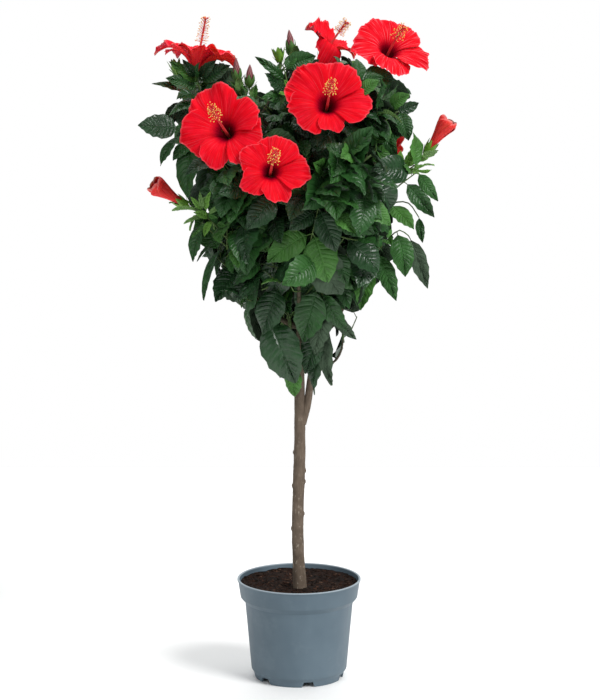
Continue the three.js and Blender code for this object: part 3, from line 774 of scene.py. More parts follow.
# Shoots that reach out past the rest or hold the leaves in front, each leaf with the share of the shoot
# that it stands at, its tip, the degrees it is rolled by, its shade, how wide it is and the share its stalk takes
shoots = table("mass through leaves", (
    ("shoulder_1", [(118, -25, 740), (150, -45, 768), (174, -45, 786)], [
        (1, (169, -48, 845), 20, "fresh", 0.85), (1, (206, -48, 744), 35, "mid", 0.7),
        (0.95, (106, -92, 798), 0, "deep", 0.95), (0.7, (200, -58, 722), 25, "dark", 0.7),
        (1, (197, -40, 790), 60, "young", 0.6), (0.9, (150, -62, 800), 20, "fresh", 0.9)]),
    ("shoulder_1", [(112, -25, 720), (137, -40, 739), (162, -45, 741), (178, -45, 720)], [
        (1, (184, -48, 682), 50, "dark", 0.6), (0.35, (169, -78, 706), 0, "fresh", 0.8)]),
    ("waist_1", [(98, -35, 640), (120, -45, 672), (147, -50, 700), (163, -45, 692)], [
        (0.78, (158, -60, 632), 10, "mid", 0.85), (1, (192, -45, 614), 25, "under", 0.6),
        (0.35, (145, -54, 596), 25, "mid", 0.65), (0.55, (137, -82, 682), 30, "fresh", 0.9),
        (0.1, (92, -62, 582), 10, "fresh", 0.8), (0.15, (118, -70, 630), 20, "dark", 0.9)]),
    ("shoulder_1", [(95, -20, 815), (125, -40, 860), (147, -42, 877)], [
        (1, (162, -46, 834), 10, "dark", 0.9), (0.6, (146, -58, 808), 35, "dark", 0.7),
        (0.9, (178, -30, 888), 20, "deep", 0.8), (0.4, (120, -70, 830), 15, "dark", 0.8)]),
    ("shoulder_4", [(-110, -30, 785), (-150, -50, 832), (-172, -60, 848)], [
        (1, (-236, -66, 858), 5, "deep", 1.2), (0.95, (-204, -64, 798), 30, "dark", 0.7),
        (0.8, (-162, -84, 752), 5, "dark", 0.85), (0.7, (-186, -70, 806), 10, "dark", 0.9)]),
    ("shoulder_4", [(-100, -80, 690), (-122, -112, 716), (-140, -126, 734)], [
        (1, (-186, -122, 738), 30, "youngUnder", 0.45), (1, (-158, -128, 760), 10, "young", 0.5),
        (1, (-144, -134, 768), 20, "youngUnder", 0.4), (0.95, (-128, -130, 768), 0, "young", 0.5),
        (0.85, (-168, -132, 720), 20, "youngUnder", 0.5), (0.9, (-110, -134, 748), 0, "youngUnder", 0.5),
        (0.9, (-118, -138, 730), 30, "fresh", 0.45), (0.75, (-138, -136, 702), 0, "young", 0.6),
        (0.8, (-154, -138, 738), 0, "young", 0.7), (0.7, (-156, -128, 700), 25, "fresh", 0.5),
        (0.7, (-122, -136, 712), 40, "youngUnder", 0.5), (0.6, (-106, -128, 716), 10, "fresh", 0.7)]),
    ("waist_4", [(-82, -40, 650), (-113, -58, 682), (-144, -60, 714)], [
        (1, (-157, -62, 656), 20, "dark", 0.8), (0.6, (-151, -68, 656), 45, "mid", 0.6),
        (0.5, (-141, -62, 598), 55, "dark", 0.6), (0, (-123, -88, 600), 5, "deep", 1.05),
        (0.05, (-72, -72, 596), 10, "dark", 1.0), (0.3, (-98, -84, 640), 10, "mid", 0.9)]),
    # The leaves at the crown's foot mostly take the deep and dark shades: painted shade for the shadowed foot.
    ("skirt_0", [(-12, -48, 560), (-26, -66, 596), (-28, -84, 622)], [
        (1, (-54, -84, 548), 0, "deep", 1), (0.2, (-5, -34, 446), 20, "fresh", 1, 0.68)]),
    ("skirt_0", [(-16, -36, 566), (-38, -52, 580), (-48, -58, 572)], [
        (1, (-4, -54, 468), 0, "deep", 1.0)]),
    ("skirt_1", [(30, -42, 545), (42, -66, 588), (28, -82, 620)], [
        (1, (6, -74, 536), 5, "dark", 0.9), (0.6, (24, -80, 519), 15, "under", 0.9),
        (0.35, (50, -48, 466), 40, "under", 0.5), (0, (24, -36, 450), 40, "deep", 0.6),
        (0.1, (10, -50, 484), 0, "deep", 0.9), (0.9, (72, -70, 552), 30, "dark", 0.7),
        (0.5, (86, -50, 536), 30, "under", 0.5)]),
    ("waist_0", [(8, -112, 650), (18, -134, 700), (28, -150, 745)], [
        (0.62, (42, -124, 632), 0, "fresh", 1.1), (1, (53, -150, 682), 0, "deep", 1),
        (0.4, (62, -98, 610), 20, "under", 1), (0.95, (-14, -158, 714), 0, "deep", 1),
        (0.6, (-46, -126, 662), 10, "fresh", 0.9)]),
    ("waist_0", [(30, -105, 650), (52, -122, 680), (66, -132, 700)], [
        (1, (117, -126, 648), 5, "deep", 1.05), (0.6, (70, -112, 628), 10, "dark", 1)]),
    ("shoulder_5", [(-50, -110, 745), (-30, -146, 762)], [
        (1, (-75, -160, 716), 0, "deep", 1.1)]),
    ("head_4", [(-132, -22, 880), (-145, -30, 904), (-150, -32, 920)], [
        (0.8, (-192, -40, 950), 30, "fresh", 0.6), (1, (-172, -46, 954), 15, "deep", 0.7),
        (1, (-122, -44, 952), 15, "deep", 0.8), (0.9, (-102, -40, 944), 10, "deep", 0.9),
        (0.7, (-196, -48, 926), 5, "dark", 0.8), (0.6, (-104, -56, 912), 0, "dark", 0.9),
        (0.3, (-216, -44, 917), 55, "deep", 0.5), (0.5, (-180, -66, 896), 0, "deep", 0.9),
        (0.4, (-132, -70, 894), 0, "dark", 0.9), (0.9, (-146, -62, 950), 0, "dark", 0.7),
        (0.2, (-190, -60, 872), 10, "dark", 0.9)]),
    ("head_0", [(-12, -40, 880), (-16, -52, 915), (-24, -46, 946)], [
        (0.55, (-66, -58, 959), 0, "dark", 0.45), (0.3, (-50, -66, 934), 10, "deep", 0.9),
        (0.9, (24, -44, 958), 10, "dark", 1.1), (0.8, (-2, -40, 962), 0, "mid", 0.9),
        (0.2, (-56, -70, 898), 0, "mid", 0.8), (0.1, (-44, -78, 884), 20, "deep", 0.9),
        (0.4, (-22, -76, 926), 0, "young", 0.6), (0.25, (-30, -80, 905), 0, "young", 0.5)]),
))

flowerPlan = {"depth": 0.6, "furledDepth": 1.5, "column": 0.78, "stalk": 34, "sunk": 2.5}
# Lengths and falls: how far each petal reaches, and how far its corners fall short of that
blooms = table("mass at faces radius open spin reflex ruffle lengths falls inner tip", (
    ("head_4", (277.7, 148, 968), (128, 76), 66, 0.86, 10, 0.16, 1.6,
     (1.0, 0.92, 1.02, 0.98, 1.0), (0.14, 0.2, 0.14, 0.1, 0.1), 0, (-138, -20, 1012)),
    ("shoulder_5", (324.8, 190, 862), (346, 24), 70, 1, 8, 0.1, 0.9,
     (0.97, 0.92, 0.95, 0.9, 1.06), (0.22, 0.4, 0.12, 0.24, 0.2), 0, (-124, -208, 896)),
    ("head_0", (14.2, 170, 900), (4, 24), 65, 1, 30, 0.08, 0.9,
     (0.9, 0.78, 0.96, 1.0, 1.04), (0.14, 0.36, 0.24, 0.16, 0.12), 0, (46, -222, 933)),
    ("shoulder_5", (348, 194, 805), (3, 20), 55, 1, 34, 0.08, 0.9,
     (0.9, 0.94, 1.03, 0.98, 0.94), (0.3, 0.34, 0.16, 0.14, 0.2), 0, (-33, -246, 836)),
    ("head_2", (137.5, 78.5, 980), (85, 60), 41, 0.6, 8, (0.8, 0.15, 0, 0, 0.1), 1.5,
     (1.1, 1.05, 0.9, 1.15, 1.15), (0.16, 0.2, 0.2, 0.2, 0.2), 0, (71, 54, 1002)),
    ("head_1", (71.5, 144, 974), (22, 43), 60, 1, 2, 0.06, 1.1,
     (1.0, 0.93, 1.04, 0.94, 0.94), (0.12, 0.14, 0.4, 0.2, 0.3), 2, (153, -60, 1001)),
    ("head_2", (176, 184, 874), (182, 24), 62, 1, 33, 0.08, 1.2,
     (0.92, 0.8, 0.98, 1.04, 0.95), (0.2, 0.36, 0.16, 0.14, 0.2), 0),
    ("shoulder_3", (216, 196, 810), (212, 18), 58, 1, 17, 0.1, 1.3,
     (0.9, 0.9, 1.0, 1.04, 0.9), (0.3, 0.3, 0.14, 0.2, 0.16), 0),
    ("shoulder_2", (140, 192, 826), (136, 22), 60, 1, 50, 0.08, 1.2,
     (0.95, 0.86, 0.92, 1.04, 1.0), (0.16, 0.34, 0.24, 0.12, 0.2), 0),
))
furled = table("mass at faces length", (
    ("shoulder_4", (290.3, 231, 775), (287, 35), 68),
    ("shoulder_1", (81.4, 227, 866), (84, 56), 68),
    ("waist_2", (168, 222, 742), (168, 30), 62),
))
buds = table("mass at faces length green", (
    ("head_4", (307, 116, 958), (320, 84), 38, False),
    ("head_4", (314, 100, 948), (20, 86), 34, False),
    ("head_4", (270, 187, 952), (285, 76), 26, True),
    ("crest_0", (215.5, 25.8, 994), (260, 84), 36, False),
    ("head_3", (238, 37.7, 968), (240, 80), 24, True),
))


def outlineRadius(height):
    c = crown
    if height <= c["foot"] or height >= c["top"]:
        return 0
    if height < c["shoulder"]:
        return c["reach"] * (1 - (1 - (height - c["foot"]) / (c["shoulder"] - c["foot"])) ** c["swell"])
    if height < c["brow"]:
        return c["reach"]
    return c["reach"] * math.sqrt(1 - ((height - c["brow"]) / (c["top"] - c["brow"])) ** 2)


def trunkRadius(share):
    height = np.asarray(share) * lengthOf(trunkCurve)
    return along(trunk["radii"], share) + trunk["flare"] * np.exp(-height / trunk["flareHeight"])


def secondRadius(share):
    return along(secondStem["radii"], share)


def tapering(root, tip):
    return lambda share: lerp(root, tip, np.asarray(share))


trunkCurve, secondCurve = curveThrough(trunk["through"]), curveThrough(secondStem["through"])
boughRadius, stemRadius = tapering(bough["root"], bough["tip"]), tapering(bough["tip"], stem["tip"])
twigRadius, sideRadius = (tapering(plan["root"], plan["tip"]) for plan in (twigPlan, sidePlan))


# The masses of foliage in a tier, each with its bough and the stem that its twigs stand on
def massesOf(tier, tierIndex):
    masses = []
    for i in range(tier["count"]):
        angle = (tier["turn"] + 360 / tier["count"] * i) % 360
        lowFork = bool(tier["fork"]) and tier["fork"][0] < secondStem["highestFork"]
        onSecond = lowFork and abs(angle - secondStem["side"]) <= secondStem["sector"]
        spot = (i * 2) % tier["count"]  # neighbours fork at different heights
        forkHeight = lerp(*tier["fork"], spot / (tier["count"] - 1)) if tier["fork"] else 0
        root = atHeight(trunkCurve, forkHeight)
        if onSecond:
            root = atHeight(secondCurve, min(forkHeight, secondStem["highestFork"]))
        mass = {"name": f"{tier['name']}_{i}", "tier": tier, "angle": angle, "index": tierIndex * 10 + i, "bough": None}
        if tier["tip"]:
            tip = around(angle, *tier["tip"])
            sagged = (root + tip) / 2 + facing(angle, -45) * bough["sag"] * np.linalg.norm(root - tip)
            mass.update(bough=bezier(root, sagged, tip), way=unit(tip - sagged), foot=tip)
        elif tier["fork"]:
            mass.update(way=facing(angle, 30), foot=root)
        else:
            mass.update(way=wayAt(trunkCurve, 1), foot=pointAt(trunkCurve, 1))
        mass["stem"] = curveOf(np.array([mass["foot"], mass["foot"] + mass["way"] * tier["stem"]]))
        masses.append(mass)
    return masses


masses = [mass for tierIndex, tier in enumerate(tiers) for mass in massesOf(tier, tierIndex)]
byName = {mass["name"]: mass for mass in masses}
limbs = [("trunk", trunkCurve, trunkRadius, trunk), ("second_stem", secondCurve, secondRadius, secondStem)]
limbs += [("bough_" + mass["name"], mass["bough"], boughRadius, bough) for mass in masses if mass["bough"]]


def leafyTwigs(mass):
    tier, following, twigs = mass["tier"], seeded(mass["index"] * 31 + twigPlan["seed"]), []
    for i in range(tier["twigs"]):
        spread = ((i * 0.618 + 0.5 + 0.12 * (following() - 0.5)) % 1) - 0.5
        height = lerp(tier["low"], tier["high"], (i + 0.5 + 0.5 * (following() - 0.5)) / tier["twigs"])
        fill = lerp(*tier["fill"], (i * 0.382 + 0.6 * following()) % 1)
        end = around(mass["angle"] + spread * twigPlan["spread"] / tier["count"], outlineRadius(height) * fill, height)
        root = pointAt(mass["stem"], lerp(*twigPlan["roots"], i / (tier["twigs"] - 1)))
        reach = np.linalg.norm(root - end)
        bend = root + mass["way"] * twigPlan["bend"] * reach - up * tier["lift"] * reach
        twigs.append({"mass": mass, "seed": mass["index"] * 101 + i, "curve": bezier(root, bend, end), "stalk": 0})
    return twigs


def flowerTwig(flower, seed):
    mass, foot, way = byName[flower["mass"]], flower["foot"], flower["way"]
    root = pointAt(mass["stem"], 0.55)
    reach = np.linalg.norm(root - foot)
    curve = bezier(root, root + mass["way"] * 0.3 * reach, foot - way * 0.38 * reach, foot + way * flowerPlan["sunk"])
    return {"mass": mass, "seed": seed, "curve": curve, "stalk": flowerPlan["stalk"] / lengthOf(curve)}


for bloom in blooms:
    bloom["way"], bloom["mouth"] = facing(*bloom["faces"]), around(*bloom["at"])
    bloom["depth"] = bloom["radius"] * lerp(flowerPlan["furledDepth"], flowerPlan["depth"], bloom["open"])
    bloom["foot"] = bloom["mouth"] - bloom["way"] * bloom["depth"]
for flower in furled + buds:
    flower["way"] = facing(*flower["faces"])
    flower["foot"] = around(*flower["at"]) - flower["way"] * flower["length"]
flowers = blooms + furled + buds
flowerTwigs = [flowerTwig(flower, 5000 + i) for i, flower in enumerate(flowers)]


def beadsAlong(curve, radiusAt):  # places and radii close together along a limb
    shares = np.linspace(0, 1, math.ceil(lengthOf(curve) / 6) + 1)
    return np.column_stack([pointAt(curve, shares), np.broadcast_to(radiusAt(shares), shares.shape)])


limbBeads = [beadsAlong(curve, radiusAt) for _, curve, radiusAt, _ in limbs]
stemBeads = [beadsAlong(mass["stem"], stemRadius) for mass in masses]


def touching(own, beads, room):
    apart = np.linalg.norm(own[:, None, :3] - beads[None, :, :3], axis=-1)
    return (apart <= own[:, None, 3] + beads[None, :, 3] + room).any()


# Twigs that would touch a limb, or a twig or bloom of another mass, are left out
def growTwigs():
    taken = [(mass["name"], beads) for mass, beads in zip(masses, stemBeads)]
    for b in blooms:
        beads = [(*lerp(b["foot"], b["mouth"], share), b["radius"] * 0.3) for share in (0, 0.25, 0.5, 0.75, 1)]
        taken.append((b["mass"], np.array([*beads, (*(b["mouth"] + b["way"] * 6), b["radius"] * 0.7)])))
    taken += [(twig["mass"]["name"], beadsAlong(twig["curve"], twigRadius)) for twig in flowerTwigs]
    grown, room = [], twigPlan["room"]
    for twig in (twig for mass in masses for twig in leafyTwigs(mass)):
        own, name = beadsAlong(twig["curve"], twigRadius), twig["mass"]["name"]
        if any(touching(own[2:], beads, room) for beads in limbBeads):
            continue
        if not any(owner != name and touching(own, beads, room) for owner, beads in taken):
            taken.append((name, own))
            grown.append(twig)
    return grown


def insideFront(points, margin):
    left, right = (np.interp(points[:, 2], frontReach["heights"], frontReach[side]) for side in ("left", "right"))
    top = np.interp(points[:, 0], frontReach["places"], frontReach["tops"]) - frontReach["slope"] * points[:, 1]
    return bool(((points[:, 0] > -left - margin) & (points[:, 0] < right + margin) & (points[:, 2] < top)).all())


# Shortens a twig to what keeps inside the crown as seen from the front
def trimmed(twig):
    shares = np.linspace(0, 1, 21)
    inside = [insideFront(point[None], twigPlan["frontMargin"]) for point in pointAt(twig["curve"], shares)]
    last = shares[inside.index(False) - 1] if False in inside else 1
    if last == 1:
        return twig
    kept = last > twigPlan["leastLeft"]
    return {**twig, "curve": curveOf(pointAt(twig["curve"], np.linspace(0, last, 30)))} if kept else None


twigs = [twig for twig in map(trimmed, growTwigs()) if twig]
print("twigs grown:", len(twigs))


# Finer leafy twigs off a twig or a bough
def finerTwigs(curve, mass, plan, parent, seed, ownSeed):
    following, grown = seeded(seed), []
    for j, share in enumerate(plan["shares"]):
        root, way = pointAt(curve, share), wayAt(curve, share)
        side = besides(way, plan["turn"] * following() + j * goldenTurn)
        length = lerp(*plan["length"], following()) * lerp(1.0, plan["shrunk"], share)
        heading = unit(side + way * plan["lean"] + up * plan["rise"])
        end = root + heading * length + up * length * plan["lift"]
        if np.hypot(end[0], end[1]) > outlineRadius(min(end[2], crown["brow"])) + plan["margin"]:
            continue
        bendShare, bendReach, bendRise = plan["bend"]
        bend = root + heading * (length * bendShare + bendReach) + up * bendRise
        grown.append({"mass": mass, "seed": ownSeed + j, "curve": bezier(root, bend, end), "stalk": 0,
                      "leaf": mass["tier"]["leaf"] * plan["leafShare"], "count": plan["leaves"], "parent": parent})
    return grown


sideTwigs = []
for twig in twigs:
    seed = twig["seed"]
    sideTwigs += finerTwigs(twig["curve"], twig["mass"], sidePlan, seed, seed * 13 + 5, seed * 7 + 90000)
for mass in masses:
    if mass["bough"]:
        seed = mass["index"]
        sideTwigs += finerTwigs(mass["bough"], mass, innerPlan, seed * 67, seed * 57 + 9, seed * 67 + 50000)

for shoot in shoots:
    stemPlace = pointAt(byName[shoot["mass"]]["stem"], 0.6)
    shoot["curve"] = curveThrough([stemPlace, *shoot["through"]], 16)
    held = np.cumsum([math.dist(a, b) for a, b in zip([stemPlace, *shoot["through"]], shoot["through"])])
    shoot["leaves"] = [(lerp(held[0] / held[-1], 1, share), *rest) for share, *rest in shoot["leaves"]]


# Bark: trunk, second stem and boughs as one piece with its relief

bark = {
    "nubs": [(402, 95, 3.4), (354, 268, 2.6), (326, 92, 2.8), (309, 88, 3.0), (302, 272, 2.4), (259, 90, 2.5),
             (236, 275, 2.6), (380, 200, 2.6), (285, 160, 2.8), (216, 20, 1.6), (196, 340, 1.4), (338, 10, 1.5)],
    "nubSpread": 2.6, "nubHeight": 0.75, "nubReach": 9,  # a nub's values: height, angle from the front and size
    "fissures": (1.9, 15, 0.034), "fine": (0.8, 3.2, 0.02), "lumps": (17, 26, 0.06), "scars": (4.7, 30, 0.018),
    "colour": (0.165, 0.125, 0.092), "patch": (0.085, 0.062, 0.045), "pale": (0.33, 0.28, 0.22),
    "green": (0.06, 0.075, 0.03), "mottle": (55.0, 0.75, 650.0),
    "paleSpan": (0.36, 0.16), "greenSpan": (0.46, 0.62),  # heights in metres
}


def barkRelief(place, turn, radius):
    x, y, z = place
    relief = 0
    for wide, tall, depth in (bark["fissures"], bark["fine"]):
        relief += depth * lumpy(math.cos(turn) * radius / wide, math.sin(turn) * radius / wide, z / tall)
    wide, tall, depth = bark["lumps"]
    relief += depth * lumpy(x / wide, y / wide, z / tall)
    apart, wander, depth = bark["scars"]
    scars = max(0, math.sin(z / apart + 2.5 * lumpy(0, 0, z / wander))) ** 6  # rings that old leaves left
    return (relief + depth * scars) * radius


def nubAt(out, height, radius, nub):
    nubHeight, angle, size = nub
    drop = abs(height - nubHeight)
    if drop >= bark["nubReach"]:
        return 0
    sideways = math.acos(max(-1, min(1, float(np.dot(out, facing(angle, 0)))))) * radius
    far = (drop**2 + sideways**2) / bark["nubSpread"] ** 2
    return size * bark["nubHeight"] * math.exp(-(far**1.6) / 2) * 0.8


def makeLimb(curve, radiusAt, plan):
    body, rings = bmesh.new(), plan["rings"]
    bmesh.ops.create_grid(body, x_segments=plan["sides"], y_segments=rings, size=0.5)
    shares = np.linspace(0, 1, rings + 1)
    points, radii = pointAt(curve, shares), np.broadcast_to(radiusAt(shares), rings + 1)
    _, across, over = framesAlong(points)
    for corner in body.verts:
        turn = (corner.co.x + 0.5) * 2 * math.pi
        ring = round((corner.co.y + 0.5) * rings)
        radius, place = float(radii[ring]), points[ring]
        out = across[ring] * math.cos(turn) + over[ring] * math.sin(turn)
        grown = radius + barkRelief(place, turn, radius)
        for nub in bark["nubs"] if plan is trunk else ():
            grown += nubAt(out, place[2], radius, nub)
        corner.co = place + out * grown
    bmesh.ops.remove_doubles(body, verts=body.verts, dist=1e-4)
    bmesh.ops.holes_fill(body, edges=body.edges, sides=0)
    bmesh.ops.recalc_face_normals(body, faces=body.faces)
    return body


def makeBarkMaterial():
    material, tree, shader = newMaterial("bark", 0.85, Specular_IOR_Level=0.25)
    node = addMottle(tree, bark["colour"], bark["patch"], *bark["mottle"])
    places = objectPlaces(tree)
    height = partsOf(tree, places)["Z"]
    streaks = ranged(tree, noiseField(tree, places, 420.0, 3.0, 0.65, (1.0, 1.0, 0.16)), 0.42, 0.62)
    colour = mixed(tree, times(tree, streaks, 0.5), node["Colour"], bark["patch"])
    flecks = ranged(tree, noiseField(tree, places, 260.0, 2.0, 0.7, (1.0, 1.0, 0.45)), 0.6, 0.68)
    low = ranged(tree, height, *bark["paleSpan"], 0.25, 1.0)  # paler flecks low on the stem
    colour = mixed(tree, times(tree, flecks, low), colour, bark["pale"])
    colour = laidOver(tree, colour, bark["green"], height, bark["greenSpan"], (0.0, 0.55))  # young wood in the crown
    rough = calculated(tree, "ADD", times(tree, streaks, 0.6), node["Height"])
    surfaced(shader, colour, rough, 0.55, 0.0006)
    return material


def makeBark():
    joined, whole = bpy.data.meshes.new("limbs"), bmesh.new()
    for _, curve, radiusAt, plan in limbs:
        limb = makeLimb(curve, radiusAt, plan)
        limb.to_mesh(joined)
        whole.from_mesh(joined)
        limb.free()
    names = [name for name, *_ in limbs]
    finished(pieceFromBmesh("bark_limbs", whole, [makeBarkMaterial()]), "bark", *names)


makeBark()
print("limbs made")

# Leaves

leafShades = {  # base colours of the upper sides and of the under sides
    "deep": (0.012, 0.045, 0.013), "dark": (0.018, 0.072, 0.015), "mid": (0.026, 0.098, 0.018),
    "fresh": (0.05, 0.155, 0.026), "young": (0.16, 0.36, 0.06),
    "under": (0.052, 0.082, 0.05), "youngUnder": (0.15, 0.28, 0.085),
}
shadeNames = list(leafShades)
tierShades = {  # how the first four shades are dealt out, as shares counted up
    # The skirt deals out the most deep and dark leaves: painted shade for the shadowed foot of the crown.
    "skirt": (0.45, 0.85, 0.98), "waist": (0.27, 0.64, 0.94), "shoulder": (0.32, 0.7, 0.95),
    "head": (0.36, 0.74, 0.95), "crest": (0.25, 0.65, 0.9),
}
leafFinish = {  # roughness, gloss level and how far the ribs are paler
    "deep": (0.3, 0.5, 0.16), "dark": (0.34, 0.42, 0.18), "mid": (0.4, 0.35, 0.2), "fresh": (0.42, 0.32, 0.22),
    "young": (0.45, 0.28, 0.35), "under": (0.65, 0.12, 0.35), "youngUnder": (0.6, 0.12, 0.4),
}
leafOutline = ((0, 0.05, 0.12, 0.2, 0.3, 0.42, 0.55, 0.67, 0.78, 0.87, 0.94, 1),  # half widths, from foot to tip
               (0, 0.36, 0.66, 0.86, 0.98, 1, 0.93, 0.78, 0.57, 0.35, 0.16, 0.02))
openRooms = {  # kept clear in front of buds, furled and upturned blooms and the leaves hung one by one
    "bud": 11, "furled": 17, "upturned": 24, "upturnedFrom": 60, "above": 12, "leafShare": 0.16, "depth": 160,
}
bloomRooms = {  # kept clear round an open bloom, as shares of its radius: before, in and behind its mouth
    "from": -0.85, "to": 1.6, "mouth": 1.04, "throat": 0.8, "throatFrom": -0.45, "tube": 0.42,
}


def leafPlaces(twig):
    mass, places = twig["mass"], []
    tier, following = mass["tier"], seeded(twig["seed"] * 17 + leafPlan["seed"])
    varied = seeded(twig["seed"] * 29 + 3)
    side, last = "parent" in twig, 1 - twig["stalk"]
    bare = 0.3 if side else twigPlan["bare"]
    leafed = lengthOf(twig["curve"]) * (last - bare)
    count = twig["count"] if side else max(2, round(leafed / twigPlan["pitch"]) + (0 if twig["stalk"] else 1))
    start = 360 * following()
    for i in range(count):
        share = lerp(bare, last, (i + twigPlan["first"]) / count)
        size = twig.get("leaf", tier["leaf"]) * lerp(*leafPlan["shrink"], share * share)
        places.append({
            "root": pointAt(twig["curve"], share), "stalkWay": wayAt(twig["curve"], share),
            "turn": start + i * goldenTurn, "size": size * lerp(0.88, 1.12, following()),
            "droop": tier["droop"] * lerp(0.75, 1.25, following()), "lean": lerp(0.25, 0.7, share),
            "roll": lerp(-0.35, 0.35, following()), "tier": tier, "spray": twig.get("parent", twig["seed"]),
            "young": side and i == count - 1, "lift": varied(), "share": share, "twig": twig,
        })
    return places


# A leaf by its root on the twig, the end of its stalk, the way it points and the way its upper side faces
def leafOf(root, foot, way, face, roll, size, **more):
    face = turnedAbout(unit(face - way * np.dot(face, way)), way, roll)
    return {"root": root, "foot": foot, "stalk": foot - root, "way": way, "face": face,
            "across": np.cross(way, face), "size": size, **more}


def outwardOf(point):
    return unit(np.array([point[0], point[1], 0]))


def leafFrame(place, attempt):
    root, stalkWay, tier, lift = place["root"], place["stalkWay"], place["tier"], place["lift"]
    outward = outwardOf(root)
    side = besides(stalkWay, place["turn"] + attempt * leafPlan["turn"])
    heading = side + stalkWay * place["lean"] + outward * tier["outward"]
    way = unit(heading - up * place["droop"] * lerp(0.55, 1.25, lift))
    foot = root + unit(heading + up * 0.35) * place["size"] * leafPlan["stalk"]
    face = up * lerp(0.9, 0.3, lift) + outward * 0.85
    return leafOf(root, foot, way, face, place["roll"] * 1.7, place["size"] * 0.9)


testShare, testSide = (  # where on a leaf its clearances are tested
    grid.ravel()[:, None] for grid in np.meshgrid((0.15, 0.35, 0.6, 0.8, 1.0), (-0.4, 0, 0.4))
)


def leafTests(leaf):
    width = testSide * leafPlan["width"] * leaf["size"] * (1 - np.abs(testShare - 0.42))
    return leaf["foot"] + leaf["way"] * testShare * leaf["size"] + leaf["across"] * width


def clearOfBlooms(points):
    rooms = bloomRooms
    for b in blooms:
        off, radius = points - b["mouth"], b["radius"]
        ahead = off @ b["way"]
        beside = np.linalg.norm(off - ahead[:, None] * b["way"], axis=1)
        behind = np.where(ahead > rooms["throatFrom"] * radius, rooms["throat"], rooms["tube"])
        room = radius * np.where(ahead > -4, rooms["mouth"], behind)
        if ((ahead > rooms["from"] * radius) & (ahead < rooms["to"] * radius) & (beside < room)).any():
            return False
    return True


keptOpen = []
for name, group in (("furled", furled), ("bud", buds)):
    keptOpen += [(f["foot"], f["foot"] + f["way"] * f["length"], openRooms[name]) for f in group]
for b in blooms:
    if b["faces"][1] > openRooms["upturnedFrom"]:
        keptOpen.append((b["foot"] + b["way"] * openRooms["above"], b["mouth"], openRooms["upturned"]))


def clearInFront(points):  # nothing hangs in front of the buds, the upturned blooms and the leaves hung one by one
    for foot, tip, room in keptOpen:
        share = np.clip((points - foot) @ (tip - foot) / np.dot(tip - foot, tip - foot), 0, 1)[:, None]
        off = points - foot - share * (tip - foot)
        beside = np.where(off[:, 1] < 0, np.hypot(off[:, 0], off[:, 2]), np.linalg.norm(off, axis=1))
        if ((beside < room) & (off[:, 1] > -openRooms["depth"])).any():
            return False
    return True


def insideCrown(points):
    reach = np.array([outlineRadius(z) for z in points[:, 2]])
    beyond = np.hypot(points[:, 0], points[:, 1]) - reach - leafPlan["margin"]
    outline = (((beyond < 0) | (points[:, 2] > crown["brow"])) & (points[:, 2] < crown["top"])).all()
    return bool(outline and insideFront(points, 0))


# The leaves of the far-reaching shoots, which are hung one by one
def shootLeaves():
    hung = []
    for plan in shoots:
        for share, tip, roll, shade, wide, *stalk in plan["leaves"]:
            root, tip = pointAt(plan["curve"], share), np.array(tip, float)
            foot = root + (tip - root) * (stalk[0] if stalk else 0.12) + up * 3
            face = up * 0.45 + unit(np.array([root[0] * 0.5, -150.0, 0]))
            hung.append(leafOf(root, foot, unit(tip - foot), face, math.radians(roll),
                               np.linalg.norm(tip - foot) * 1.03, shade=shade, wide=wide))
    return hung


def shadeOf(place):
    own = seeded(int(place["size"] * 1000))()
    value = 0.5 * seeded(place["spray"] * 3 + 1)() + 0.5 * own
    if place["young"] and own > 0.55:
        return "fresh"
    return shadeNames[int(np.searchsorted(tierShades[place["tier"]["name"]], value))]


def growLeaves():
    leaves, beads = shootLeaves(), np.vstack(limbBeads + stemBeads)
    keptOpen.extend((leaf["foot"], leaf["foot"] + leaf["way"] * leaf["size"], openRooms["leafShare"] * leaf["size"])
                    for leaf in leaves)
    tests = np.vstack([leafTests(leaf) for leaf in leaves])
    for place in (place for twig in twigs + flowerTwigs + sideTwigs for place in leafPlaces(twig)):
        for attempt in range(leafPlan["tries"]):
            leaf = leafFrame(place, attempt)
            points = leafTests(leaf)
            if not (insideCrown(points) and clearOfBlooms(points) and clearInFront(points)):
                continue
            near = beads[np.abs(beads[:, 2] - leaf["foot"][2]) < leafPlan["limbsWithin"]]
            apart = np.linalg.norm(points[:, None] - near[None, :, :3], axis=-1) - near[:, 3]
            if len(near) and apart.min() < leafPlan["limbRoom"]:
                continue
            close = tests[np.abs(tests - leaf["foot"]).max(axis=1) < leafPlan["leavesWithin"]]
            if len(close) and np.linalg.norm(points[:, None] - close[None], axis=-1).min() < leafPlan["apart"]:
                continue
            tests = np.vstack([tests, points])
            leaves.append({**leaf, "shade": shadeOf(place)})
            place["twig"]["leafed"] = max(place["twig"].get("leafed", 0), place["share"])
            break
    return leaves


# One leaf's faces: fans to its foot and tip, a grid of ribs and ridges between, and a plainer under side
def leafFaces():
    rows, columns = leafPlan["rows"], leafPlan["columns"]
    grid = 1 + np.arange(rows * (columns + 1)).reshape(rows, columns + 1)
    tip, keel = grid[-1, -1] + 1, grid[-1, -1] + 2 + np.arange(rows)
    low, high, left, right = grid[0], grid[-1], grid[:, 0], grid[:, -1]
    fans = [(0, b, a) for a, b in zip(low, low[1:])] + [(a, b, tip) for a, b in zip(high, high[1:])]
    under = [(left[r + 1], keel[r + 1], keel[r], left[r]) for r in range(rows - 1)]
    under += [(keel[r + 1], right[r + 1], right[r], keel[r]) for r in range(rows - 1)]
    ends = [(0, left[0], keel[0]), (0, keel[0], right[0]), (tip, keel[-1], left[-1]), (tip, right[-1], keel[-1])]
    return [quads(grid), np.array(fans), np.array(under), np.array(ends)]


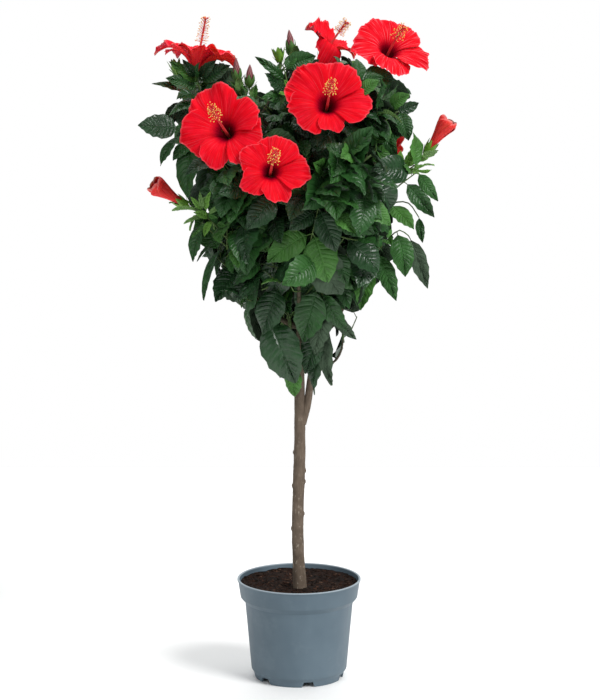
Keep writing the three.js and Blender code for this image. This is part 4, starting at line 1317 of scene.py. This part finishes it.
# Draws every leaf at once: ridges between sunk ribs, teeth on the outer half, folded, waved and bowed
def drawLeaves(leaves, seed):
    plan, rng, count = leafPlan, np.random.default_rng(seed), len(leaves)
    rows, columns = plan["rows"], plan["columns"]

    def each(key):
        return lerp(*plan[key], rng.random(count))[:, None, None]

    size, wide = (np.array([leaf.get(key, 1) for leaf in leaves])[:, None, None] for key in ("size", "wide"))
    middle = (np.arange(1, rows + 1) / (rows + 1))[None, :, None]
    side = np.linspace(-1, 1, columns + 1)[None, None, :]
    away, ridge = np.abs(side), (np.arange(rows) % 2)[None, :, None]
    margin = 1 - (1 - middle) ** 1.7
    y = (middle + (margin - middle) * away**1.25) * size
    tooth = 1 + plan["tooth"] * (1 - 2 * ridge) * np.clip((margin - 0.25) * 4, 0, 1)
    half = np.interp(margin, *leafOutline) * tooth * plan["width"] * wide * each("widths") / 2 * size
    x = side * half
    pillow = ridge * plan["pillow"] * size * np.interp(away, *plan["pillowAcross"]) * np.sin(np.pi * middle)
    fold, hump = each("folds") * away * half, each("humps") * x**2 / (0.32 * size)
    wave = away * size * each("waves") * np.sin(margin * each("waveCounts") + each("wavePlaces") + side * 1.5)
    z = pillow + fold - hump + wave + plan["edgeLift"] * size * (away > 0.1)
    length, nought, centre = size[:, :, 0], np.zeros((count, 1)), columns // 2
    keelDrop, parts = plan["thickness"] + 0.004 * length, []
    for part, end, drop in ((x, nought, 0), (y, length, 0), (z, nought, keelDrop)):
        grid = np.broadcast_to(part, (count, rows, columns + 1)).reshape(count, -1)
        keel = np.broadcast_to(part[:, :, centre] - drop, (count, rows))
        parts.append(np.concatenate([nought, grid, end, keel], axis=1))
    x, y, z = parts
    twist, bow = each("twists")[:, :, 0] * y / length, each("bows")[:, :, 0]
    x, z = x * np.cos(twist) - z * np.sin(twist), x * np.sin(twist) + z * np.cos(twist)
    angle, start = bow * (y / length - 0.5), -bow / 2
    ahead = (np.sin(angle) - np.sin(start)) / bow * length + z * np.sin(angle)
    lift = (np.cos(angle) - np.cos(start)) / bow * length + z * np.cos(angle)
    way, face, across, foot = (
        np.array([leaf[key] for leaf in leaves])[:, None, :] for key in ("way", "face", "across", "foot")
    )
    points = foot + way * ahead[..., None] + face * lift[..., None] + across * x[..., None]
    u, v = (np.broadcast_to(part, (1, rows, columns + 1)).ravel() for part in ((side + 1) / 2, middle))
    keelUv = np.column_stack([np.full(rows, 0.5), middle.ravel()])
    uv = np.vstack([[(0.5, 0)], np.column_stack([u, v]), [(0.5, 1)], keelUv])
    upper = np.array([shadeNames.index(leaf["shade"]) for leaf in leaves])
    bright = [leaf["shade"] in brightShades for leaf in leaves]
    under = np.where(bright, shadeNames.index("youngUnder"), shadeNames.index("under"))
    addToHeap(leafHeap, points, leafFaces(), [upper, upper, under, under], uv)


def drawStalks(leaves):
    for leaf in leaves:
        start, stalk = leaf["root"], leaf["stalk"]
        bend = start + stalk * 0.7 + up * np.linalg.norm(stalk) * 0.12
        curve = bezier(start, bend, leaf["foot"], leaf["foot"] + leaf["way"] * leaf["size"] * 0.05, count=12)
        radius = 0.42 + leaf["size"] * 0.0048
        addTube(stalkHeap, pointAt(curve, np.linspace(0, 1, 5)), np.linspace(radius, radius * 0.75, 5), 4,
                int(leaf["shade"] in brightShades))


# Where a leaf's ribs run, from its own map: a line along the middle and six to each side
def makeRibs():
    group, given, out = newGroup("leaf_ribs", {"Width": 0.2}, ("Mask", "Height"))
    uv, across, length = ownMap(group)
    away = fromMiddle(group, across)
    off = fromMiddle(group, calculated(group, "FRACT", times(group, length, (leafPlan["rows"] + 1) / 2)))
    line = addNode(group, "ShaderNodeMapRange", To_Min=1.0, To_Max=0.0)
    feed(line.inputs["Value"], off)
    feed(line.inputs["From Max"], given["Width"])
    faded = times(group, line.outputs["Result"], ranged(group, away, 0.7, 0.98, 0.85, 0.0))
    mask = calculated(group, "MAXIMUM", faded, ranged(group, away, 0.02, 0.09, 1.0, 0.0))
    between = times(group, ranged(group, off, 0.72, 1.0, 0.0, 0.6), ranged(group, away, 0.7, 0.98, 1.0, 0.0))
    net = times(group, noiseField(group, uv, 1.0, 2.0, 0.6, (9.0, 17.0, 1.0)), 0.8)  # the finest veins
    feed(out["Mask"], mask)
    feed(out["Height"], calculated(group, "SUBTRACT", net, calculated(group, "MAXIMUM", mask, between)))
    return group


def makeLeafMaterial(name, colour, roughness, level, ribShare):
    material, tree, shader = newMaterial("leaf_" + name, roughness, Specular_IOR_Level=level)
    pale, ribColour = (tuple(min(1, value * 1.9 + more) for value in colour) for more in (0.004, 0.012))
    node = addMottle(tree, colour, pale, *leafPlan["mottle"])
    lines = addNode(tree, "ShaderNodeGroup", {"node_tree": ribs}, Width=leafPlan["ribWidth"]).outputs
    colour = mixed(tree, times(tree, lines["Mask"], ribShare), node["Colour"], ribColour)
    feed(shader.inputs["Roughness"], ranged(tree, node["Mask"], 0, 1, roughness - 0.06, roughness + 0.08))
    surfaced(shader, colour, lines["Height"], 0.7, 0.0016)
    return material


brightShades = ("fresh", "young")
leaves = growLeaves()
print("leaves grown:", len(leaves))
ribs = makeRibs()
leafMaterials = [makeLeafMaterial(name, colour, *leafFinish[name]) for name, colour in leafShades.items()]
leafHeap, stalkHeap = newHeap(), newHeap()
drawLeaves(leaves, 17)
drawStalks(leaves)


def makeTwigs():
    heap, shares = newHeap(), np.linspace(0, 1, 15)
    for mass in masses:
        addTube(heap, pointAt(mass["stem"], np.linspace(-0.02, 1, 8)), stemRadius(np.linspace(0, 1, 8)), 8, 0)
    for shoot in shoots:
        addTube(heap, pointAt(shoot["curve"], shares), lerp(1.7, 0.9, shares), 6, 1)
    for k, twig in enumerate(twigs + flowerTwigs + sideTwigs):
        side, reach = "parent" in twig, 1 if twig["stalk"] else min(1, twig.get("leafed", 0) + 0.04)
        if reach < twigPlan["leastReach"]:
            continue
        radii = (sideRadius if side else twigRadius)(shares) * (1 + 0.09 * np.sin(shares * 31 + k))
        nodesAt = pointAt(twig["curve"], shares * reach)
        if side:
            addTube(heap, nodesAt[::2], radii[::2], 5, 1)
            continue
        split = 9 if twig["stalk"] else 12  # woody up to here, and green from here
        addTube(heap, nodesAt[: split + 1], radii[: split + 1], 6, 0)
        addTube(heap, nodesAt[split:], radii[split:], 6, 1)
    finished(pieceFromHeap("twigs", heap, mottledMaterials({
        "twig_woody": ((0.085, 0.06, 0.036), (0.05, 0.05, 0.02), 90.0, 0.8, 900.0, 0.4, 0.7),
        "twig_green": ((0.1, 0.17, 0.035), (0.06, 0.11, 0.025), 90.0, 0.8, 900.0, 0.4, 0.7),
    })), "bark")


makeTwigs()

# Blooms

petalPlan = {
    "rows": 18, "columns": 32, "thickness": 0.35, "spread": (24, 34, 43, 48, 50, 48, 43), "overlap": 0.07,
    "open": [(0.035, 0), (0.1, 0.28), (0.2, 0.6), (0.38, 0.86), (0.62, 0.98), (0.84, 1.02), (1.0, 1.0), (1.15, 0.95),
             (1.32, 0.86)],
    "folded": [(0.05, 0), (0.16, 0.2), (0.34, 0.4), (0.56, 0.56), (0.76, 0.7), (0.9, 0.86), (0.96, 1.06), (0.96, 1.3),
               (0.88, 1.6)],
    "nicks": ((0.1, 1.9, 0.5, 7), (0.035, 6, 3, 5), (0.02, 19, 5, 3)),  # depth, how close, place and seed
    "swells": ((0.065, 2.3, 0, 2), (0.045, 5.2, 2, 3)),  # height, waves across and along, and how far out they start
    "frills": ((0.1, 4.5, 1.6, 3, 9), (0.09, 11, 3.5, 5, 3)), "ribs": 0.012,
    # The pale rim colour is a painted highlight along the petal margins.
    "red": (0.82, 0.0022, 0.012), "deepRed": (0.56, 0.0, 0.007), "rim": (0.95, 0.09, 0.12),
    # The pinker patches are a painted sheen. The outer sides' red is their own colour, made lighter as painted light
    # for their shade.
    "outer": (0.96, 0.007, 0.022), "paintedSheen": (0.88, 0.007, 0.026), "streak": (0.95, 0.18, 0.22),
    "throat": (0.15, 0.0, 0.008), "crimson": (0.4, 0.0, 0.014), "glowDepth": 0.02,
}
furledPlan = {
    "widths": [(0, 3.4, 0), (0.2, 4.6, 0), (0.45, 7.2, 0), (0.68, 10.8, 0), (0.84, 13.2, 0), (0.94, 13.2, 0),
               (1, 11.4, 0)],
    "foot": 8, "rows": 18, "columns": 14, "thickness": 0.4, "half": 66, "twist": 70,
    "furled_inner": ((0.6, 0.006, 0.014), (0.35, 0.0, 0.008), (0.95, 0.2, 0.18)),  # colour, streaks and rim
    "furled_outer": ((1.0, 0.06, 0.055), (0.95, 0.01, 0.016), (1.0, 0.32, 0.3)),
}
stamenPlan = {
    "column": (2.4, 1.2), "count": 72, "first": (0.6, 0.7), "last": 0.975, "tilt": (-0.1, 0.9), "reach": (6.5, 10.5),
    "radii": (0.34, 0.28, 0.24), "anther": (0.75, 1.0), "antherShares": (0.7, 0.3),
    "stigmas": 5, "stigmaAt": 0.965, "stigmaTilt": 1.3, "stigmaReach": 5.4, "stigmaRadii": (0.6, 0.5, 0.45),
    "stigmaSize": 1.35,
}
calyxPlan = {
    "sepals": 5, "half": 38, "thickness": 0.7, "sink": 2.5, "bracts": 7, "bractThickness": 0.5, "bractReach": 7.5,
    "bractLength": 0.52, "bractSink": 3.5, "bractWidth": 1.15,
}
budPlan = {
    "widths": ((0, 0.12, 0.3, 0.45, 0.65, 0.85, 0.95, 1), (0, 0.62, 0.93, 1, 0.8, 0.42, 0.2, 0)),
    "radius": 5.4, "greenRadius": 5, "foot": 4, "fluteDepth": 0.06, "twist": 2.2, "stripes": 62.8,
    "red": (0.15, 0.022, 0.033), "pale": (0.36, 0.14, 0.14),
}
flowerColours = {
    "column": (0.6, 0.02, 0.035), "columnPatch": (0.75, 0.09, 0.08), "anther": (0.98, 0.5, 0.05),
    "antherPatch": (1.0, 0.72, 0.2), "stigma": (0.75, 0.05, 0.03), "sepal": (0.075, 0.19, 0.03),
    "sepalYoung": (0.19, 0.4, 0.035), "sepalPatch": (0.045, 0.12, 0.025),
}


# Uneven waves over a petal
def ruffled(u, v, seed):
    return np.array([[lumpy(a, b, seed) for a in u] for b in v])


def drawPetals(bloom, index):
    plan, rng = petalPlan, np.random.default_rng(300 + index)
    radius, wide = bloom["radius"], bloom["open"]
    shape = [(lerp(a[0], b[0], wide) * radius, lerp(a[1], b[1], wide) * bloom["depth"], 0)
             for a, b in zip(plan["folded"], plan["open"])]
    profile = curveThrough(shape, 20)
    full = profile["reach"][20 * (len(shape) - 3)]
    v, u = gridShares(plan["rows"], plan["columns"])
    for k, (length, fall) in enumerate(zip(bloom["lengths"], bloom["falls"])):
        reflex = np.broadcast_to(bloom["reflex"], 5)[k]  # one value for all petals, or one for each
        phase = rng.random(8) * 2 * math.pi
        strong = lerp(0.7, 1.3, rng.random(4)) * bloom["ruffle"]
        margin = length * (1 - fall * np.abs(u) ** 2.4)
        for nick, close, place, seed in plan["nicks"]:
            margin = margin + nick * ruffled(u[0] * close, [place], seed * k + index)
        reach = v * lerp(1, margin, v**1.5)
        r, z = (np.interp(reach * full, profile["reach"], profile["points"][:, axis]) for axis in (0, 1))
        half = np.radians(along(plan["spread"], reach)) * (1 - 0.5 * fall * reach)
        turn = math.radians(bloom["spin"] + 72 * k + 5 * (rng.random() - 0.5)) - u * half
        share = r / radius
        lift = plan["overlap"] * u * share * 1.3
        for (high, across, down, power), shift, amount in zip(plan["swells"], phase[1:], strong):
            lift = lift + high * amount * np.sin(across * u + down * v + shift) * share**power
        for (high, across, down, power, seed), amount in zip(plan["frills"], strong[2:]):
            lift = lift + high * amount * ruffled(u[0] * across, v[:, 0] * down, seed * k + index) * share**power
        lift = lift + plan["ribs"] * np.cos(u * 9 * math.pi / 2) * share * (1 - share)
        z = z + radius * (lift - reflex * np.clip((share - 0.5) * 2, 0, 1.3) ** 2)
        r = r + radius * 0.03 * strong[3] * ruffled(u[0] * 9 + 4, v[:, 0] * 3, 8 * k + index) * share**4
        r = r - radius * reflex * 0.22 * np.clip((share - 0.6) * 2.5, 0, 1.3) ** 2
        addRoundSheet(petalHeap, r, turn, z, bloom["foot"], bloom["way"], plan["thickness"], [bloom["inner"], 1])


def drawFurled(flower, index):
    plan, rng = furledPlan, np.random.default_rng(500 + index)
    length, widths = flower["length"] - plan["foot"], curveThrough(plan["widths"], 12)["points"]
    v, u = gridShares(plan["rows"], plan["columns"])
    base, lip = np.interp(v, widths[:, 0], widths[:, 1]), np.clip((v - 0.72) / 0.28, 0, 1)
    half, twist = math.radians(plan["half"]), math.radians(plan["twist"])
    for k in range(5):
        r = base * (1 + 0.12 * u) + lip**2 * (1.2 * u - 0.8 * (k % 2)) + 0.5 * lip * np.sin(9 * u + k)
        turn = math.radians(72 * k + 20 * rng.random()) - u * half + v * twist
        z = plan["foot"] + length * v * (1 - 0.1 * u**2 * v**3) - lip * 1.6 * (k % 3)
        addRoundSheet(furledHeap, r, turn, z, flower["foot"], flower["way"], plan["thickness"], [0, 1])


def drawStamens(bloom, index):
    plan, rng = stamenPlan, np.random.default_rng(700 + index)
    foot, way, count = bloom["foot"], bloom["way"], plan["count"]
    tall = bloom["depth"] + bloom["radius"] * flowerPlan["column"]
    tip = np.array(bloom.get("tip", foot + way * tall + up * 0.12 * bloom["radius"]), float)
    column = bezier(foot + way * 2, foot + way * tall * 0.62, tip)
    addTube(stamenHeap, pointAt(column, np.linspace(0, 0.97, 16)), np.linspace(*plan["column"], 16), 9, 0)

    def addHair(share, aim, turn, tilt, reach, bend, radii, sides):
        start = pointAt(column, share)
        end = start + unit(placed(ray(turn, tilt)[None], np.zeros(3), aim)[0]) * reach
        addTube(stamenHeap, np.array([start, (start + end) / 2 + bend, end]), radii, sides, 0)
        return end

    anthers = []
    for i in range(count):
        share = lerp(plan["first"][min(index, 1)], plan["last"], (i + rng.random()) / count)
        turn = math.radians(i * goldenTurn + 40 * rng.random())
        way, tilt = wayAt(column, share), lerp(*plan["tilt"], i / count) + 0.3 * rng.random()
        end = addHair(share, way, turn, tilt, lerp(*plan["reach"], rng.random()), way * 0.6, plan["radii"], 3)
        anthers.append(end + ballPoints * lerp(*plan["anther"], rng.random()))
    finish = rng.choice([1, 2], count, p=plan["antherShares"])
    addToHeap(stamenHeap, np.array(anthers), [ballFaces], [finish])
    ends = [
        addHair(plan["stigmaAt"], wayAt(column, 1), math.radians(72 * i + 15), plan["stigmaTilt"], plan["stigmaReach"],
                way * 0.5, plan["stigmaRadii"], 5)
        for i in range(plan["stigmas"])
    ]
    addToHeap(stamenHeap, np.array([end + ballPoints * plan["stigmaSize"] for end in ends]), [ballFaces], [3])


# A green cup of five pointed sepals over narrow bracts
def drawCalyx(foot, way, length, width, spread, index, outer=0):
    plan, finishes = calyxPlan, [1, outer]
    v, u = gridShares(8, 4)
    half = np.radians(plan["half"]) * np.clip(1.25 - v**2.2 * 1.23, 0.03, 1)
    r = width * (0.42 + 0.58 * np.sin(np.clip(v * 1.5, 0, 1) * math.pi / 2)) + spread * v**3
    z = -plan["sink"] + length * v - 0.6 * u**2
    for k in range(plan["sepals"]):
        turn = math.radians(72 * k + 11 * index) - u * half
        addRoundSheet(sepalHeap, r, turn, z, foot, way, plan["thickness"], finishes)
    v, u = gridShares(6, 2)
    half = plan["bractWidth"] * np.sin(np.clip(0.12 + v, 0, 1) * math.pi * 0.93) + 0.12
    reach = width * 0.55 + plan["bractReach"] * v[..., None] ** 1.3
    rise = up * (length * plan["bractLength"] * v[..., None] - plan["bractSink"])
    for k in range(plan["bracts"]):
        out = ray(math.radians(360 / plan["bracts"] * k + 20 * index), 0)
        side = np.array([-out[1], out[0], 0])
        grid = out * reach + rise - side * (u * half)[..., None]
        addSheet(sepalHeap, placed(grid, foot, way), plan["bractThickness"], finishes)


def drawBud(flower, index):
    plan, length = budPlan, flower["length"] - budPlan["foot"]
    wide = plan["greenRadius"] if flower["green"] else plan["radius"]
    body = bmesh.new()
    bmesh.ops.create_uvsphere(body, u_segments=20, v_segments=16, radius=1)
    points, uvs = [], []
    for corner in body.verts:
        share, turn = (corner.co.z + 1) / 2, math.atan2(corner.co.y, corner.co.x)
        fluted = 1 + plan["fluteDepth"] * math.cos(5 * (turn - share * plan["twist"]))
        isPole = math.hypot(corner.co.x, corner.co.y) < 1e-4
        radius = 0 if isPole else np.interp(share, *plan["widths"]) * wide * fluted
        points.append((radius * math.cos(turn), radius * math.sin(turn), plan["foot"] + length * share))
        uvs.append((turn / (2 * math.pi) + 0.5, share))
    blocks = [np.array([[v.index for v in f.verts] for f in body.faces if len(f.verts) == count]) for count in (3, 4)]
    body.free()
    addToHeap(budHeap, placed(np.array(points), flower["foot"], flower["way"], 60 * index), blocks,
              [int(flower["green"])] * 2, np.array(uvs))


# Red with patches of painted sheen, deeper veins, paler streaks, a pale rim of painted highlight, and a dark throat on
# the inner side
def makePetalMaterial(name, veinShare, streakShare, throat, glow=0):
    plan = petalPlan
    material, tree, shader = newMaterial(
        name, 0.55, Specular_IOR_Level=0.05, Subsurface_Weight=glow, Subsurface_Scale=plan["glowDepth"])
    uv, _, length = ownMap(tree)
    veins = noiseField(tree, uv, 1.0, 3.0, 0.55, (34.0, 1.7, 1.0))
    paintedSheen = noiseField(tree, objectPlaces(tree), 62.0, 2.0, 0.55)
    # pinker patches of painted sheen over the red; the outer sides' lighter red is partly painted light
    colour = laidOver(tree, plan["red" if throat else "outer"], plan["paintedSheen"], paintedSheen, (0.4, 0.66), (0.0, 0.75))
    colour = laidOver(tree, colour, plan["deepRed"], veins, (0.42, 0.66), (0.0, veinShare))
    streaks = noiseField(tree, uv, 1.0, 2.0, 0.5, (40.0, 1.3, 1.0))
    streaks, outer = ranged(tree, streaks, 0.55, 0.68, 0.0, streakShare), ranged(tree, length, 0.3, 0.55, 0.2, 1.0)
    colour = mixed(tree, times(tree, streaks, outer), colour, plan["streak"])
    # a pale rim on the margins: a painted highlight
    colour = laidOver(tree, colour, plan["rim"], length, (0.955, 1.0), (0.0, 0.75))
    if throat:
        ragged = calculated(tree, "ADD", length, times(tree, veins, 0.12))
        colour = laidOver(tree, colour, plan["crimson"], ragged, (0.52, 0.38))
        colour = laidOver(tree, colour, plan["throat"], ragged, (0.42, 0.3))
    surfaced(shader, colour, veins, 0.4, 0.0015)
    return material


# The rolled petals of a closing bloom: salmon with red streaks and a pale rim, or dark inside
def makeFurledMaterial(name):
    colour, streak, rim = furledPlan[name]
    material, tree, shader = newMaterial(
        name, 0.5, Specular_IOR_Level=0.08, Subsurface_Weight=0.2, Subsurface_Scale=petalPlan["glowDepth"])
    uv, _, length = ownMap(tree)
    veins = noiseField(tree, uv, 1.0, 3.0, 0.55, (16.0, 1.2, 1.0))
    made = laidOver(tree, colour, streak, veins, (0.4, 0.62), (0.0, 0.8))
    surfaced(shader, laidOver(tree, made, rim, length, (0.93, 1.0), (0.0, 0.8)), veins, 0.5)
    return material


def makeBudMaterial():
    material, tree, shader = newMaterial("bud_petals", 0.55)
    _, across, length = ownMap(tree)
    slant = calculated(tree, "ADD", across, times(tree, length, 0.35))
    stripes = calculated(tree, "SINE", times(tree, slant, budPlan["stripes"]))
    broken = calculated(tree, "ADD", stripes, noiseField(tree, objectPlaces(tree), 300.0, 2.0))
    surfaced(shader, laidOver(tree, budPlan["red"], budPlan["pale"], broken, (0.0, 1.2)), stripes, 0.3, 0.0006)
    return material


petalHeap, furledHeap, stamenHeap, sepalHeap, budHeap = (newHeap() for _ in range(5))
for index, bloom in enumerate(blooms):
    drawPetals(bloom, index)
    drawStamens(bloom, index)
    drawCalyx(bloom["foot"], bloom["way"], 24, 7.5, 6.5, index)
for index, flower in enumerate(furled):
    drawFurled(flower, index)
    drawCalyx(flower["foot"] + flower["way"] * 4, flower["way"], 26, 7.8, 0.5, index + 3, 2)
for index, flower in enumerate(buds):
    drawBud(flower, index)
    length = flower["length"]
    shape = (length * 0.95, 7.2, 3.5, index + 5, 2) if flower["green"] else (length * 0.58, 7.6, -1.2, index)
    drawCalyx(flower["foot"] + flower["way"] * 3, flower["way"], *shape)

hues = flowerColours
stamenMaterials = mottledMaterials({
    "staminal_column": (hues["column"], hues["columnPatch"], 140.0, 0.7, 900.0, 0.2, 0.5),
    "anthers": (hues["anther"], hues["antherPatch"], 400.0, 0.7, 1500.0, 0.4, 0.7),
    "anthers_pale": (hues["antherPatch"], hues["anther"], 400.0, 0.4, 1500.0, 0.4, 0.7),
    "stigmas": (hues["stigma"], hues["column"], 300.0, 0.5, 1200.0, 0.4, 0.6),
})
sepalMaterials = mottledMaterials({
    "sepal": (hues["sepal"], hues["sepalPatch"], 120.0, 0.7, 700.0, 0.3, 0.55),
    "sepal_inner": (hues["sepalPatch"], hues["sepal"], 120.0, 0.5, 700.0, 0.3, 0.6),
    "sepal_young": (hues["sepalYoung"], hues["sepal"], 120.0, 0.6, 700.0, 0.3, 0.5),
})
petalMaterials = [
    makePetalMaterial("petal_inner", 0.6, 0.2, True), makePetalMaterial("petal_outer", 0.25, 0.2, False, 0.25),
    makePetalMaterial("petal_streaked", 0.45, 0.85, True),
]
furledMaterials = [makeFurledMaterial(name) for name in ("furled_inner", "furled_outer")]
for pieceName, heap, materials, sharpAngle in (
    ("petals", petalHeap, petalMaterials, 80), ("petals_furled", furledHeap, furledMaterials, 80),
    ("stamens", stamenHeap, stamenMaterials, 60), ("calyxes", sepalHeap, sepalMaterials, 80),
    ("buds", budHeap, [makeBudMaterial(), sepalMaterials[2]], 80),
):
    finished(pieceFromHeap(pieceName, heap, materials, sharpAngle), "foliage")
print("blooms made")


# Bright young leaves round the furled blooms and the shoot tips

youngPlan = {"atFurled": 8, "atOthers": 3, "first": 12, "apart": 7, "size": (20, 38), "smaller": 0.8, "stalk": 0.22,
             "wide": 0.85, "youngShare": 0.3}


def youngLeaves():
    grown, plan = [], youngPlan
    for index, (flower, twig) in enumerate(zip(flowers, flowerTwigs)):
        isFurled, following = flower in furled, seeded(7000 + index)
        for i in range(plan["atFurled" if isFurled else "atOthers"]):
            share = 1 - (plan["first"] + plan["apart"] * i) / lengthOf(twig["curve"])
            root, way = pointAt(twig["curve"], share), wayAt(twig["curve"], share)
            turn = math.radians(i * goldenTurn + 90 * following())
            heading = unit(turnedAbout(unit(np.cross(way, up + 0.01)), way, turn) + way * 0.9 + up * 0.3)
            size = lerp(*plan["size"], following()) * (1 if isFurled else plan["smaller"])
            shade = "young" if isFurled or following() < plan["youngShare"] else "fresh"
            leaf = leafOf(root, root + heading * size * plan["stalk"], heading, up + outwardOf(root) * 0.5, 0, size,
                          shade=shade, wide=plan["wide"])
            if clearOfBlooms(leafTests(leaf)):
                grown.append(leaf)
    return grown


young = youngLeaves()
drawLeaves(young, 29)
drawStalks(young)
foliageNodes = ["foliage_" + mass["name"] for mass in masses]
finished(pieceFromHeap("leaves", leafHeap, leafMaterials, 65), "foliage", *foliageNodes)
finished(pieceFromHeap("leaf_stalks", stalkHeap, mottledMaterials({
    "leaf_stalk": ((0.045, 0.1, 0.03), (0.07, 0.085, 0.03), 90.0, 0.6, 900.0, 0.2, 0.5),
    "leaf_stalk_young": ((0.12, 0.24, 0.05), (0.09, 0.17, 0.04), 90.0, 0.6, 900.0, 0.2, 0.5),
})), "foliage")
print("leaves made")


def makeFloor():
    body = bmesh.new()
    bmesh.ops.create_grid(body, x_segments=1, y_segments=1, size=studio["floorHalf"] / mm)
    material, tree, shader = newMaterial("studio_floor", 0.9)
    patches, amount, shade = studio["floorFinish"]
    pale = studio["floorColour"]
    darker = tuple(value * shade for value in pale)
    field = noiseField(tree, objectPlaces(tree), patches, 1.0)
    feed(shader.inputs["Base Color"], laidOver(tree, pale, darker, field, (0.3, 0.7), (0.0, amount)))
    pieceFromBmesh("studio_floor", body, [material])


makeFloor()
for piece in bpy.data.objects:
    if piece.type == "MESH" and not piece.hide_render and piece.name not in frame["nodes"]:
        print("piece", piece.name, sum(len(p.vertices) - 2 for p in piece.data.polygons), "triangles")
